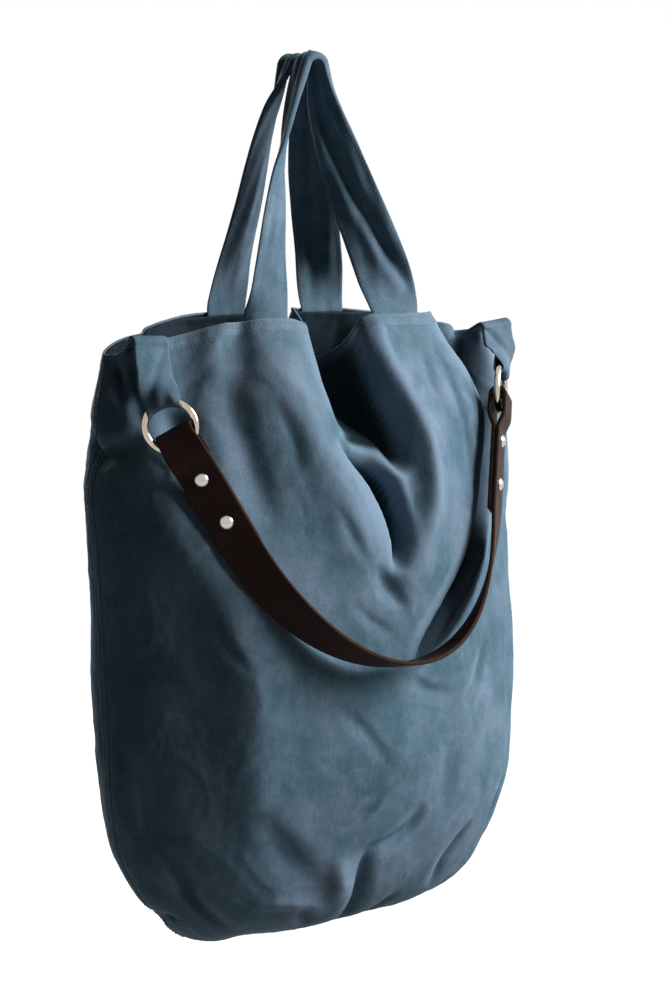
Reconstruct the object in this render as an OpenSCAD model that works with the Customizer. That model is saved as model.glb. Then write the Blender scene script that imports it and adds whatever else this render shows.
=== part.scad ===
// A slouchy bag of waxed cloth: two cloth handles, and a leather strap hung on two rings.
// The origin is the underside of the handles, where a hook holds them.
// +Z is up, +X is the right side seen from the front, and +Y points to the back.

/* [Body] */
// Width of the filled body across its side seams
bag_w = 370; // [354:2:386]
// Depth of the filled body from front to back
bag_d = 190; // [180:2:206]
// Height from the bottom seam to the rim at the handles
bag_h = 480; // [455:5:520]
// Width of the mouth across its two corners
mouth_w = 344; // [330:2:350]
// Depth of the mouth from front to back
mouth_d = 100; // [92:2:112]
// Length of the bottom seam
seam_len = 150; // [130:5:180]
// Height over which the bottom rounds up into the sides
round_h = 165; // [150:5:180]
// How far the bottom leans to the right
lean = 12; // [0:1:16]
// How far the rim falls towards its two corners
corner_drop = 25; // [18:1:32]
// How far the rim hangs in between the handles
rim_dip = 14; // [6:1:22]
// How far the rim is drawn inwards between the handles
mouth_sag = 12; // [4:1:18]
// Thickness of the cloth of one panel
cloth_t = 1.4; // [0.8:0.1:2]

/* [Hems and bindings] */
// Height of the facing sewn inside the rim
facing_h = 38; // [30:1:50]
// Thickness of the facing and of the seam bindings
binding_t = 1; // [0.6:0.1:1.4]
// Width of the bindings over the seams
binding_w = 16; // [12:1:20]
// Distance of a corner binding from the bottom of the bag
corner_up = 26; // [20:1:40]
// Room between two layers of cloth
layer_gap = 0.5; // [0.4:0.1:0.6]

/* [Handles] */
// Drop from the hook to the rim
handle_drop = 190; // [170:5:230]
// Distance between the two ends of the front handle
handle_gap = 120; // [110:2:136]
// Distance between the two ends of the back handle
back_gap = 98; // [92:2:110]
// Width of a handle
handle_w = 46; // [36:1:50]
// Width of a handle where it is gathered on the hook
handle_top_w = 28; // [22:1:34]
// Thickness of a handle
handle_t = 2.2; // [1.6:0.1:3]
// Thickness of a handle where it is gathered on the hook
handle_top_t = 4; // [3:0.1:5]
// Radius of the bend over the hook
hook_r = 10; // [8:0.5:14]
// Length of a handle's ends inside the rim
handle_end_len = 30; // [20:1:34]
// Height of a handle's fold line above the rim
handle_fold_up = 5; // [5:0.1:6]

/* [Tabs] */
// Width of a tab
tab_w = 28; // [24:1:30]
// Width of a tab where it is gathered round its ring
tab_low_w = 17; // [14:1:18]
// Thickness of one layer of a tab
tab_t = 1.6; // [1.2:0.1:2]
// Distance of a tab's middle from the corner of the mouth
tab_in = 13; // [12:1:18]
// Length of a tab's end inside the rim
tab_end_len = 24; // [18:1:28]
// Distance of a tab's fold line in front of the middle of the mouth
tab_front = 32; // [32:0.5:36]
// Distance of a tab's fold line below the rim at the handles
tab_fold_drop = 13; // [11:0.5:15]

/* [Rings] */
// Thickness of a ring's wire
wire_d = 5; // [4:0.5:5.5]
// Inner diameter of a ring
ring_id = 31; // [30:0.5:34]
// Drop of the left ring's middle below the rim at the handles
left_ring_drop = 72; // [68:1:78]
// Drop of the right ring's middle below the rim at the handles
right_ring_drop = 61; // [58:1:68]

/* [Strap] */
// Width of the leather strap
strap_w = 30; // [26:1:30]
// Width of the strap where it is folded round a ring
strap_fold_w = 28; // [24:0.5:28]
// Thickness of the leather
leather_t = 3.2; // [2.6:0.1:3.6]
// Half of the room between the two layers beside the ring
loop_room = 4.2; // [4:0.1:5]
// Length of each folded end, measured from its fold
tail_len = 99; // [95:1:110]
// Distance of the first rivet from the fold
rivet_first = 42; // [40:1:46]
// Distance between the two rivets of one end
rivet_pitch = 35; // [28:1:40]
// How far the strap's bow reaches on below its folded ends
strap_reach = 143; // [125:1:155]

/* [Rivets] */
// Diameter of a rivet's cap
cap_d = 10; // [8:0.5:11]
// Height of the domed cap
cap_h = 2.6; // [2:0.1:3]
// Diameter of a rivet's post
post_d = 3.4; // [2.6:0.1:4]
// Diameter of the flat foot on the post
foot_d = 9; // [7:0.5:10]
// Thickness of the foot
foot_t = 1; // [0.8:0.1:1.2]

/* [Hidden] */

cloth_blue = [0.25, 0.36, 0.43];
lining_blue = [0.19, 0.28, 0.34];
leather_brown = [0.2, 0.11, 0.08];
nickel = [0.82, 0.78, 0.72];

// Shape of the body: shares of its height and exponents of its curves
turn_share = 0.36;
bottom_square = 0.8;
width_power = 5;
depth_power = 3;
sag_power = 6;
dip_share = 0.8;

rim_z = -handle_drop;
turn_z = rim_z - bag_h + round_h;
seat_gap = 0.3;
seam_gap = 0.3;

// Depths of the layers under the outer face of the cloth
under_panel = cloth_t + layer_gap;
under_ends = under_panel + handle_t + layer_gap;
under_facing = under_ends + binding_t + layer_gap;

function lerp(a, b, t) = a + (b - a) * t;
function clamp(t) = min(1, max(0, t));
function ease(t) = clamp(t) * clamp(t) * (3 - 2 * clamp(t));
function unit(v) = v / norm(v);
function across(v, along) = unit(v - (v * along) * along);

// Outer surface of the bag. The angle u starts at the middle of the front and passes the right side
// seam at 90, v runs from 0 at the bottom seam to 1 at the rim, and off moves the point outwards.
function half_w(up) = lerp(bag_w, mouth_w, pow(up, width_power)) / 2;
function half_d(up) = lerp(bag_d, mouth_d, pow(up, depth_power)) / 2;
function gap_at(u) = cos(u) > 0 ? handle_gap : back_gap;
function dip_at(u) =
    let (k = abs(sin(u)) * mouth_w / (gap_at(u) - handle_w) / dip_share)
    k < 1 ? pow(cos(90 * k), 2) : 0;
function fall_at(u) = let (share = gap_at(u) / mouth_w) pow(max(0, abs(sin(u)) - share) / (1 - share), 2);
function rim_at(u) = rim_z - corner_drop * fall_at(u) - rim_dip * dip_at(u);

function side_skin(u, up, off) = [
    (half_w(up) + off) * sin(u),
    -(half_d(up) + off - mouth_sag * dip_at(u) * pow(up, sag_power)) * cos(u),
    lerp(turn_z, rim_at(u), up),
];
function bottom_skin(u, turn, off) =
    let (out = pow(sin(90 * turn), bottom_square))
    let (low = pow(cos(90 * turn), bottom_square))
    [
        (lerp(seam_len, bag_w, out) / 2 + off * out) * sin(u),
        -(bag_d / 2 + off) * out * cos(u),
        turn_z - (round_h + off) * low,
    ];
function leaning(p) = [p[0] + lean * (rim_z - p[2]) / bag_h, p[1], p[2]];
function skin(u, v, off = 0) = leaning(
    v < turn_share ? bottom_skin(u, v / turn_share, off)
                   : side_skin(u, (v - turn_share) / (1 - turn_share), off));
// Share of the height at which the side of the bag passes a height z
function v_at(u, z) = lerp(turn_share, 1, (z - turn_z) / (rim_at(u) - turn_z));
// The front and the back are kept apart by the seam gap
function parted(p, u) = [p[0], p[1] + (cos(u) > 0 ? -1 : 1) * seam_gap / 2, p[2]];

// A closed sheet between an outer and an inner grid; at() gives a point for two shares and a side
module sheet(nu, nv, at) {
    layer = (nu + 1) * (nv + 1);
    function id(s, j, i) = s * layer + j * (nu + 1) + i;
    function split(q) = [[q[0], q[1], q[2]], [q[0], q[2], q[3]]];
    points = [for (s = [0, 1], j = [0 : nv], i = [0 : nu]) at(i / nu, j / nv, s)];
    outer = [for (j = [0 : nv - 1], i = [0 : nu - 1])
        each split([id(0, j, i), id(0, j + 1, i), id(0, j + 1, i + 1), id(0, j, i + 1)])];
    inner = [for (j = [0 : nv - 1], i = [0 : nu - 1])
        each split([id(1, j, i), id(1, j, i + 1), id(1, j + 1, i + 1), id(1, j + 1, i)])];
    low_edge = [for (i = [0 : nu - 1])
        each split([id(0, 0, i), id(0, 0, i + 1), id(1, 0, i + 1), id(1, 0, i)])];
    top_edge = [for (i = [0 : nu - 1])
        each split([id(0, nv, i + 1), id(0, nv, i), id(1, nv, i), id(1, nv, i + 1)])];
    first_edge = [for (j = [0 : nv - 1])
        each split([id(0, j + 1, 0), id(0, j, 0), id(1, j, 0), id(1, j + 1, 0)])];
    last_edge = [for (j = [0 : nv - 1])
        each split([id(0, j, nu), id(0, j + 1, nu), id(1, j + 1, nu), id(1, j, nu)])];
    polyhedron(points, concat(outer, inner, low_edge, top_edge, first_edge, last_edge));
}

// A strip along a path: stations of [middle, width vector, half width, half thickness]
module strip(stations, bevel = 0) {
    n = len(stations);
    function outline(w, t, c) = c == 0
        ? [[-w, -t], [w, -t], [w, t], [-w, t]]
        : [[-w, c - t], [c - w, -t], [w - c, -t], [w, c - t], [w, t - c], [w - c, t], [c - w, t], [-w, t - c]];
    function along(k) = unit(stations[min(k + 1, n - 1)][0] - stations[max(k - 1, 0)][0]);
    sides = bevel == 0 ? 4 : 8;
    points = [for (k = [0 : n - 1])
        let (s = stations[k], t = along(k), w = across(s[1], t), out = cross(t, w))
        for (c = outline(s[2], s[3], bevel)) s[0] + w * c[0] + out * c[1]];
    faces = concat(
        [[for (i = [0 : sides - 1]) i]],
        [[for (i = [sides - 1 : -1 : 0]) (n - 1) * sides + i]],
        [for (k = [0 : n - 2], i = [0 : sides - 1])
            let (a = k * sides + i, b = k * sides + (i + 1) % sides)
            each [[a, a + sides, b + sides], [a, b + sides, b]]]
    );
    polyhedron(points, faces);
}

// Moves children from their own frame, z along out, to a place
module placed(at, out, side) {
    x = across(side, out);
    y = cross(out, x);
    multmatrix([
        [x[0], y[0], out[0], at[0]],
        [x[1], y[1], out[1], at[1]],
        [x[2], y[2], out[2], at[2]],
        [0, 0, 0, 1],
    ]) children();
}

// Body panels, with rows close together where the bottom closes on its seam
panel_columns = 28;
bottom_rows = 8;
side_rows = 14;
function row_v(j) = j <= bottom_rows
    ? turn_share * pow(j / bottom_rows, 1.5)
    : lerp(turn_share, 1, (j - bottom_rows) / side_rows);

module panel(first_u) {
    rows = bottom_rows + side_rows;
    sheet(panel_columns, rows, function (i, j, s)
        let (u = lerp(first_u, first_u + 180, i))
        let (middle = first_u < 0 ? 0 : 180)
        parted(skin(u, row_v(round(j * rows)), -s * cloth_t), middle));
}

module front_panel() {
    color(cloth_blue) panel(-90);
}
module back_panel() {
    color(cloth_blue) panel(90);
}

// Facings, sewn inside the rim over the ends of the handles
facing_rows = 2;
module facing(first_u) {
    sheet(panel_columns, facing_rows, function (i, j, s)
        let (u = lerp(first_u, first_u + 180, i))
        let (middle = first_u < 0 ? 0 : 180)
        let (v = v_at(u, lerp(rim_at(u) - facing_h, rim_at(u) - seat_gap, j)))
        parted(skin(u, v, -under_ends - s * binding_t), middle));
}

module front_facing() {
    color(lining_blue) facing(-90);
}
module back_facing() {
    color(lining_blue) facing(90);
}

// Bindings over the side seams, from above the corner seams to the rim, on the rows of the panels
side_first_row = 6;
module side_binding(middle_u) {
    reach = asin(binding_w / bag_d);
    rows = bottom_rows + side_rows - side_first_row;
    sheet(4, rows, function (i, j, s)
        let (u = middle_u + lerp(-reach, reach, i))
        let (v = min(row_v(side_first_row + round(j * rows)), 1 - seat_gap / bag_h))
        skin(u, v, -under_panel - s * binding_t));
}

module left_side_binding() {
    color(lining_blue) side_binding(-90);
}
module right_side_binding() {
    color(lining_blue) side_binding(90);
}

// Binding over the bottom seam: a flat strip that stops short of the corner seams
seam_share = 0.84;
module bottom_binding() {
    floor_z = turn_z - round_h + under_panel;
    length = seam_len * seam_share;
    color(lining_blue)
        translate([lean - length / 2, -binding_w / 2, floor_z])
        cube([length, binding_w, binding_t]);
}

// Bindings over the seams that box the bottom corners
corner_columns = 8;
corner_binding_share = 0.2;
module corner_binding(middle_u) {
    turn = acos(pow(1 - corner_up / round_h, 1 / bottom_square)) / 90;
    mid_v = turn_share * turn;
    half_v = corner_binding_share * binding_w / round_h * turn_share;
    spread = corner_columns / 2 * 180 / panel_columns;
    sheet(corner_columns, 2, function (i, j, s)
        let (u = middle_u + lerp(-spread, spread, i))
        skin(u, lerp(mid_v - half_v, mid_v + half_v, j), -under_panel - layer_gap - s * binding_t));
}

module left_corner_binding() {
    color(lining_blue) corner_binding(-90);
}
module right_corner_binding() {
    color(lining_blue) corner_binding(90);
}

// Handles. Both turn the same way, from flat at the rim to edge-on at the hook
handle_fold_z = rim_z + handle_fold_up;
handle_start = handle_fold_up - 0.7;
hook_mid_r = hook_r + handle_top_t / 2;
handle_top_y = handle_top_w / 2 + 1;
leg_steps = 18;
bend_steps = 10;

// A leg leaves the rim upright, then runs straight to the point where it meets the bend
leg_lead = 24;
leg_foot_z = handle_fold_z + leg_lead / 2;
function tangent_angle(gap) =
    let (lean_in = asin(hook_mid_r / norm([gap / 2, leg_foot_z + hook_r])))
    let (slope = atan2(gap / 2, -(leg_foot_z + hook_r)))
    90 - (slope + lean_in);
function tangent_point(gap) =
    let (a = tangent_angle(gap))
    [hook_mid_r * sin(a), -hook_r + hook_mid_r * cos(a)];
function leg_run(h) = h < 0 ? 0 : h < leg_lead ? h * h / (2 * leg_lead) : h - leg_lead / 2;

// The left leg turns soon, the right one turns late: a power of the height for each
left_twist = 0.9;
right_twist = 3.5;
// Shares of a leg's height at which it starts to narrow and to thicken towards the hook
narrow_from = 0.55;
thick_from = 0.4;

function handle_base_y(gap) = (mouth_d / 2 - under_panel - handle_t / 2) * cos(asin(gap / mouth_w));

function leg_station(t, side, face, gap) =
    let (end = tangent_point(gap))
    let (rate = (gap / 2 - end[0]) / (end[1] - leg_foot_z))
    let (z = lerp(handle_fold_z - handle_start, end[1], t))
    let (up = clamp((z - handle_fold_z) / (end[1] - handle_fold_z)))
    let (turn = 90 * pow(up, side < 0 ? left_twist : right_twist))
    [
        [
            side * (gap / 2 - rate * leg_run(z - handle_fold_z)),
            face * lerp(handle_base_y(gap), handle_top_y, ease(up)),
            z,
        ],
        [side * cos(turn), -sin(turn), 0],
        lerp(handle_w, handle_top_w, ease((t - narrow_from) / (1 - narrow_from))) / 2,
        lerp(handle_t, handle_top_t, ease((t - thick_from) / (1 - thick_from))) / 2,
    ];
function bend_station(a, face) = [
    [hook_mid_r * sin(a), face * handle_top_y, -hook_r + hook_mid_r * cos(a)],
    [0, -1, 0],
    handle_top_w / 2,
    handle_top_t / 2,
];

module handle(face, gap) {
    a = tangent_angle(gap);
    right = [for (k = [0 : leg_steps - 1]) leg_station(k / leg_steps, 1, face, gap)];
    bend = [for (k = [0 : bend_steps]) bend_station(lerp(a, -a, k / bend_steps), face)];
    left = [for (k = [leg_steps - 1 : -1 : 0]) leg_station(k / leg_steps, -1, face, gap)];
    strip(concat(right, bend, left));
}

module front_handle() {
    color(cloth_blue) handle(-1, handle_gap);
}
module back_handle() {
    color(cloth_blue) handle(1, back_gap);
}

// The ends of the handles lie flat between the panel and the facing
module handle_ends(middle, gap) {
    for (side = [-1, 1]) {
        inner_u = asin((gap - handle_w) / mouth_w);
        outer_u = asin((gap + handle_w) / mouth_w);
        turned = middle == 0 ? 1 : -1;
        sheet(4, 3, function (i, j, s)
            let (share = side * turned > 0 ? i : 1 - i)
            let (u = middle + side * turned * lerp(inner_u, outer_u, share))
            let (v = v_at(u, lerp(rim_at(u) - handle_end_len, rim_at(u), j)))
            skin(u, v, -under_panel - s * handle_t));
    }
}

module front_handle_ends() {
    color(cloth_blue) handle_ends(0, handle_gap);
}
module back_handle_ends() {
    color(cloth_blue) handle_ends(180, back_gap);
}

// Rings. Each lies in a plane that is turned towards its side of the bag
ring_r = (ring_id + wire_d) / 2;
// Angle round the bag, distance off it and turn towards its side, of the rings and the strap's ends
ring_u = 52.5;
ring_stand = 14;
left_tail_u = 35;
right_tail_u = 38;
tail_drop = 158;
tail_stand = 12;
left_turn = 38;
right_turn = 40;
tab_lean = 19;

function ring_turn(side) = side < 0 ? left_turn : right_turn;
function tail_u(side) = side < 0 ? left_tail_u : right_tail_u;
function ring_drop(side) = side < 0 ? left_ring_drop : right_ring_drop;
function outwards(side) = [side * sin(ring_turn(side)), -cos(ring_turn(side)), 0];
function standing(side, u, drop, stand) =
    skin(side * u, v_at(side * u, rim_z - drop)) + stand * outwards(side);
function ring_mid(side) = standing(side, ring_u, ring_drop(side), ring_stand);
// Direction of the strap's folded end, its width across the ring, and the ring's axis
function end_dir(side) = unit(standing(side, tail_u(side), tail_drop, tail_stand) - ring_mid(side));
function end_side(side) = across([-side * cos(ring_turn(side)), -sin(ring_turn(side)), 0.6], end_dir(side));
function ring_axis(side) = cross(end_side(side), end_dir(side)) * side;
// Direction from the ring's middle to the wire that the tab holds
function tab_dir(side) =
    let (up = across([0, 0, 1], ring_axis(side)))
    let (aside = cross(ring_axis(side), up))
    unit(up * cos(tab_lean) + aside * sin(tab_lean) * -side);

module ring(side) {
    placed(ring_mid(side), ring_axis(side), [0, 0, 1])
        rotate_extrude($fn = 72) translate([ring_r, 0]) circle(d = wire_d, $fn = 24);
}

module left_ring() {
    color(nickel) ring(-1);
}
module right_ring() {
    color(nickel) ring(1);
}

// Tabs. A tab is one loop of cloth: two layers that meet at its fold line and pass round the wire
tab_x = mouth_w / 2 - tab_in;
tab_top_z = rim_z - tab_fold_drop;
tab_room = wire_d / 2 + 3.6;
tab_drop = 9;
tab_lead = 15;
tab_steps = 8;
fold_steps = 8;
// The tab starts above its fold line, so that it turns clear of its root
tab_start = 3.5;
root_end = tab_start + 0.8;
function tab_top(side) = [side * tab_x, -tab_front, tab_top_z];
function tab_wire(side) = ring_mid(side) + ring_r * tab_dir(side);
function curve3(a, b, c, t) = lerp(lerp(a, b, t), lerp(b, c, t), t);

module tab(side) {
    top = tab_top(side);
    wire = tab_wire(side);
    low_side = unit(cross(ring_axis(side), tab_dir(side)));
    front = ring_axis(side);
    // Runs straight down from the fold line and ends in line with the ring's middle
    first = top + [0, 0, tab_start];
    second = top - [0, 0, tab_drop];
    third = wire + tab_lead * tab_dir(side);
    function spine(t) = lerp(curve3(first, second, third, t), curve3(second, third, wire, t), t);
    function width_dir(t) = unit(lerp([1, 0, 0], -low_side, ease(t)));
    function half(t) = lerp(tab_w, tab_low_w, ease((t - 0.3) / 0.6)) / 2;
    function facing_dir(t) =
        let (along = unit(spine(t + 0.01) - spine(t - 0.01)))
        cross(along, across(width_dir(t), along));
    function apart(t) = lerp(tab_t / 2 + seat_gap / 2, tab_room + tab_t / 2, ease((t - 0.35) / 0.55));
    function layer(t, s) = [spine(t) + s * apart(t) * facing_dir(t), width_dir(t), half(t), tab_t / 2];
    inner = [for (k = [0 : tab_steps]) layer(k / tab_steps, -1)];
    fold = [for (k = [1 : fold_steps - 1])
        let (a = 180 * k / fold_steps)
        [
            wire - (tab_room + tab_t / 2) * (cos(a) * facing_dir(1) + sin(a) * tab_dir(side)),
            width_dir(1), half(1), tab_t / 2,
        ]];
    outer = [for (k = [tab_steps : -1 : 0]) layer(k / tab_steps, 1)];
    strip(concat(inner, fold, outer));
}

module left_tab() {
    color(cloth_blue) tab(-1);
}
module right_tab() {
    color(cloth_blue) tab(1);
}

// The root of a tab: sewn inside the rim, it rolls over the rim to the fold line
// Thickness of the two layers of a tab together
root_t = 2 * tab_t + seat_gap;
root_steps = 12;
root_arch = 9;
root_clear = 4.8;
root_shift = 4;
root_drop = 1.5;
module tab_root(side) {
    depth = under_facing + root_t / 2 + root_clear;
    inner_u = side * asin((tab_x - root_shift) / (mouth_w / 2 - depth));
    tangent = unit(skin(inner_u + 1, 1, -depth) - skin(inner_u - 1, 1, -depth));
    rim_point = skin(inner_u, 1, -depth);
    low_point = skin(inner_u, v_at(inner_u, rim_at(inner_u) - tab_end_len), -depth);
    top = tab_top(side) + [0, 0, root_end];
    above = top + [0, 0, root_drop];
    function arch(t) = lerp(
        curve3(rim_point, rim_point + [0, 0, root_arch], above + [0, 0, root_arch], t),
        curve3(rim_point + [0, 0, root_arch], above + [0, 0, root_arch], above, t), t);
    inside = [for (k = [0 : 2]) [lerp(low_point, rim_point, k / 3), tangent, tab_w / 2, root_t / 2]];
    over = [for (k = [0 : root_steps])
        let (t = k / root_steps)
        [arch(t), unit(lerp(tangent, [1, 0, 0], ease(t))), tab_w / 2, root_t / 2]];
    strip(concat(inside, over, [[top, [1, 0, 0], tab_w / 2, root_t / 2]]));
}

module left_tab_root() {
    color(cloth_blue) tab_root(-1);
}
module right_tab_root() {
    color(cloth_blue) tab_root(1);
}

// Leather strap. Each end passes through its ring and is folded back, and the bow hangs between them
half_t = leather_t / 2;
layer_off = half_t + seat_gap / 2;
loop_r = loop_room + half_t;
fold_at = 1.5;
loop_mid = fold_at + half_t + loop_r;
loop_straight = ring_r + 4;
closed_at = rivet_first - foot_d / 2 - 1.5;
// The strap widens from its fold to its full width over this stretch
widen_from = 6;
widen_len = 14;
bow_steps = 30;
edge_bevel = 0.5;

function end_point(side, s, off) = ring_mid(side) + s * end_dir(side) + off * strap_out(side);
// The outer face of the strap's end looks away from the bag
function strap_out(side) = ring_axis(side);
function spread(s) = lerp(loop_r, layer_off, ease((s - loop_straight) / (closed_at - loop_straight)));
function end_half(s) = lerp(strap_fold_w, strap_w, ease((s - widen_from) / widen_len)) / 2;
function end_station(side, s, off_side) =
    [end_point(side, s, off_side * spread(s)), end_side(side), end_half(s), half_t];
function end_stops() = [loop_mid, 14, 18, loop_straight, 25, 28, 31, closed_at];
function fold_stations(side) = [for (k = [0 : fold_steps])
    let (a = 180 * k / fold_steps)
    [
        end_point(side, loop_mid - loop_r * sin(a), -loop_r * cos(a)),
        end_side(side), end_half(0), half_t,
    ]];

tail_at = fold_at + tail_len;
function bow_foot(side) = end_point(side, tail_at, layer_off);
bow_skew = 0.12;
function bow_pull(side) = bow_foot(side) + strap_reach * (1 + side * bow_skew) * end_dir(side);
function bow_bare(t) = lerp(
    curve3(bow_foot(-1), bow_pull(-1), bow_pull(1), t),
    curve3(bow_pull(-1), bow_pull(1), bow_foot(1), t), t);
// The bow leans on the front panel: its middle is pushed out until its inner edge just clears it
bow_room = 6;
bow_front = bag_d / 2 + strap_w / 2 + bow_room;
bow_push = bow_front + bow_bare(0.5)[1];
function bow(t) = bow_bare(t) - [0, bow_push * pow(4 * t * (1 - t), 1.5), 0];
bow_tilt = 1.2;
function bow_width(t) = unit(
    pow(1 - t, 2) * end_side(-1) + 2 * t * (1 - t) * bow_tilt * [0, -1, 0] + pow(t, 2) * end_side(1));
function bow_station(t) = [bow(t), bow_width(t), strap_w / 2, half_t];

function rivet_spots() = [rivet_first, rivet_first + rivet_pitch] + [fold_at, fold_at];

module leather_strap() {
    stops = end_stops();
    last = len(stops) - 1;
    left_tail = concat([end_station(-1, tail_at, -1)],
        [for (k = [last : -1 : 1]) end_station(-1, stops[k], -1)]);
    left_main = [for (k = [1 : last]) end_station(-1, stops[k], 1)];
    middle = [for (k = [0 : bow_steps]) bow_station(k / bow_steps)];
    right_main = [for (k = [last : -1 : 1]) end_station(1, stops[k], 1)];
    right_fold = [for (k = [fold_steps : -1 : 0]) fold_stations(1)[k]];
    right_tail = concat([for (k = [1 : last]) end_station(1, stops[k], -1)], [end_station(1, tail_at, -1)]);
    color(leather_brown) difference() {
        strip(concat(left_tail, fold_stations(-1), left_main, middle, right_main, right_fold, right_tail),
            edge_bevel);
        for (side = [-1, 1], s = rivet_spots())
            placed(end_point(side, s, 0), strap_out(side), end_side(side))
                cylinder(d = post_d + 0.2, h = 4 * leather_t, center = true, $fn = 32);
    }
}

// Rivets: a domed cap on the outer face, pressed on a post with a flat foot
rivet_out = layer_off + half_t + seat_gap;
module rivet_caps(side) {
    dome_r = (pow(cap_d / 2, 2) + pow(cap_h, 2)) / (2 * cap_h);
    for (s = rivet_spots())
        placed(end_point(side, s, rivet_out), strap_out(side), end_side(side))
            difference() {
                intersection() {
                    translate([0, 0, cap_h - dome_r]) sphere(r = dome_r, $fn = 64);
                    cylinder(d = cap_d, h = cap_h + 1, $fn = 48);
                }
                translate([0, 0, -1]) cylinder(d = post_d + 0.1, h = cap_h * 0.6 + 1, $fn = 32);
            }
}
module rivet_posts(side) {
    for (s = rivet_spots())
        placed(end_point(side, s, -rivet_out), strap_out(side), end_side(side)) {
            translate([0, 0, -foot_t]) cylinder(d = foot_d, h = foot_t, $fn = 48);
            cylinder(d = post_d, h = 2 * rivet_out + cap_h * 0.6 - 0.1, $fn = 32);
        }
}

module left_rivet_caps() {
    color(nickel) rivet_caps(-1);
}
module right_rivet_caps() {
    color(nickel) rivet_caps(1);
}
module left_rivet_posts() {
    color(nickel) rivet_posts(-1);
}
module right_rivet_posts() {
    color(nickel) rivet_posts(1);
}

front_panel();
back_panel();
front_facing();
back_facing();
left_side_binding();
right_side_binding();
bottom_binding();
left_corner_binding();
right_corner_binding();
front_handle();
back_handle();
front_handle_ends();
back_handle_ends();
left_tab_root();
right_tab_root();
left_tab();
right_tab();
left_ring();
right_ring();
leather_strap();
left_rivet_caps();
left_rivet_posts();
right_rivet_caps();
right_rivet_posts();
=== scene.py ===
"""A trapeze bag of waxed cloth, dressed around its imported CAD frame.

Lengths in the code are millimetres, and the meshes are made in metres. x points to the right side of
the bag, y to its back and z up; the handles' hook is at the origin.
"""

import math

import bpy
import numpy as np
from mathutils import Matrix, Vector


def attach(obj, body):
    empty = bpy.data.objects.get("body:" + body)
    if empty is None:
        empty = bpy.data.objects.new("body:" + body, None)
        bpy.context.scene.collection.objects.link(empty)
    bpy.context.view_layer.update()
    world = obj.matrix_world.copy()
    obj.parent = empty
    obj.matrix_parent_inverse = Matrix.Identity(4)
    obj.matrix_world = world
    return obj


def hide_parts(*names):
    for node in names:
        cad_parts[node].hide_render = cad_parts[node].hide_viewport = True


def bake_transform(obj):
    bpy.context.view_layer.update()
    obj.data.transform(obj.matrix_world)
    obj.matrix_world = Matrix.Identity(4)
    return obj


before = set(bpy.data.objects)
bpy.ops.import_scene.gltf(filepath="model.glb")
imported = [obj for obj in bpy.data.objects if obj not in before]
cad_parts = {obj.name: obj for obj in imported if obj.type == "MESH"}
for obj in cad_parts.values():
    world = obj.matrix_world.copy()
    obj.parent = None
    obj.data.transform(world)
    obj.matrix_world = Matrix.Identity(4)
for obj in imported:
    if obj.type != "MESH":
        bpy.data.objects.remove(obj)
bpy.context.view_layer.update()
scene = bpy.context.scene
MM = 0.001

# Sizes, as in the CAD part
BAG_W, BAG_D, BAG_H = 370, 190, 480
MOUTH_W, MOUTH_D = 344, 100
SEAM_LEN, ROUND_H = 150, 165
LEAN, CORNER_DROP, RIM_DIP, MOUTH_SAG = 12, 25, 14, 12
CLOTH_T, LAYER_GAP, FACING_H, BINDING_T, BINDING_W, CORNER_UP = 1.4, 0.5, 38, 1, 16, 26
HANDLE_DROP, HANDLE_GAP, BACK_GAP = 190, 120, 98
HANDLE_W, HANDLE_T, HANDLE_TOP_T = 46, 2.2, 4
HOOK_R, HANDLE_END, FOLD_UP = 10, 30, 5
TAB_W, TAB_T, TAB_IN, TAB_END, TAB_FRONT, TAB_FOLD_DROP = 28, 1.6, 13, 24, 32, 13
WIRE_D, RING_ID, LEFT_RING_DROP, RIGHT_RING_DROP = 5, 31, 72, 61
STRAP_W, STRAP_FOLD_W, LEATHER_T, LOOP_ROOM, TAIL_LEN = 30, 28, 3.2, 4.2, 99
RIVET_FIRST, STRAP_REACH, FOOT_D = 42, 143, 9
TURN_SHARE, BOTTOM_SQUARE, WIDTH_POWER, DEPTH_POWER, SAG_POWER, DIP_SHARE = 0.36, 0.8, 5, 3, 6, 0.8
RING_U, RING_STAND, TAIL_DROP, TAIL_STAND = 52.5, 14, 158, 12
TAIL_U = {-1: 35, 1: 38}
RING_TURN = {-1: 38, 1: 40}
TAB_LEAN, TAB_DROP, TAB_LEAD, TAB_START = 19, 9, 15, 3.5
ROOT_CLEAR, ROOT_SHIFT = 4.8, 4
SEAT_GAP = 0.3

RIM_Z = -HANDLE_DROP
TURN_Z = RIM_Z - BAG_H + ROUND_H
UNDER_PANEL = CLOTH_T + LAYER_GAP
UNDER_ENDS = UNDER_PANEL + HANDLE_T + LAYER_GAP
UNDER_FACING = UNDER_ENDS + BINDING_T + LAYER_GAP
FRONT, BACK, LEFT, RIGHT = -1, 1, -1, 1
SEAMS = (("left", -90), ("right", 90))
# Share of the height at which the boxed corners are sewn across, and the length once round the bag
CORNER_V = TURN_SHARE * math.degrees(math.acos((1 - CORNER_UP / ROUND_H) ** (1 / BOTTOM_SQUARE))) / 90
AROUND = 960


# Small maths
def arr(*v):
    return np.array(v, float)


def unit(v):
    v = np.asarray(v, float)
    return v / np.maximum(np.linalg.norm(v, axis=-1, keepdims=True), 1e-9)


def lerp(a, b, t):
    return a + (b - a) * t


def ease(t):
    t = np.clip(t, 0, 1)
    return t * t * (3 - 2 * t)


def gauss(x, middle, width):
    return np.exp(-(((x - middle) / width) ** 2))


def across(v, along):
    """The part of a direction that is square to another."""
    v, along = np.asarray(v, float), np.asarray(along, float)
    return unit(v - (v * along).sum(-1, keepdims=True) * along)


def floats(*values):
    """The values as arrays of one shape."""
    return np.broadcast_arrays(*[np.asarray(v, float) for v in values])


def side_by_side(*values):
    return np.stack(np.broadcast_arrays(*values), -1)


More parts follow.
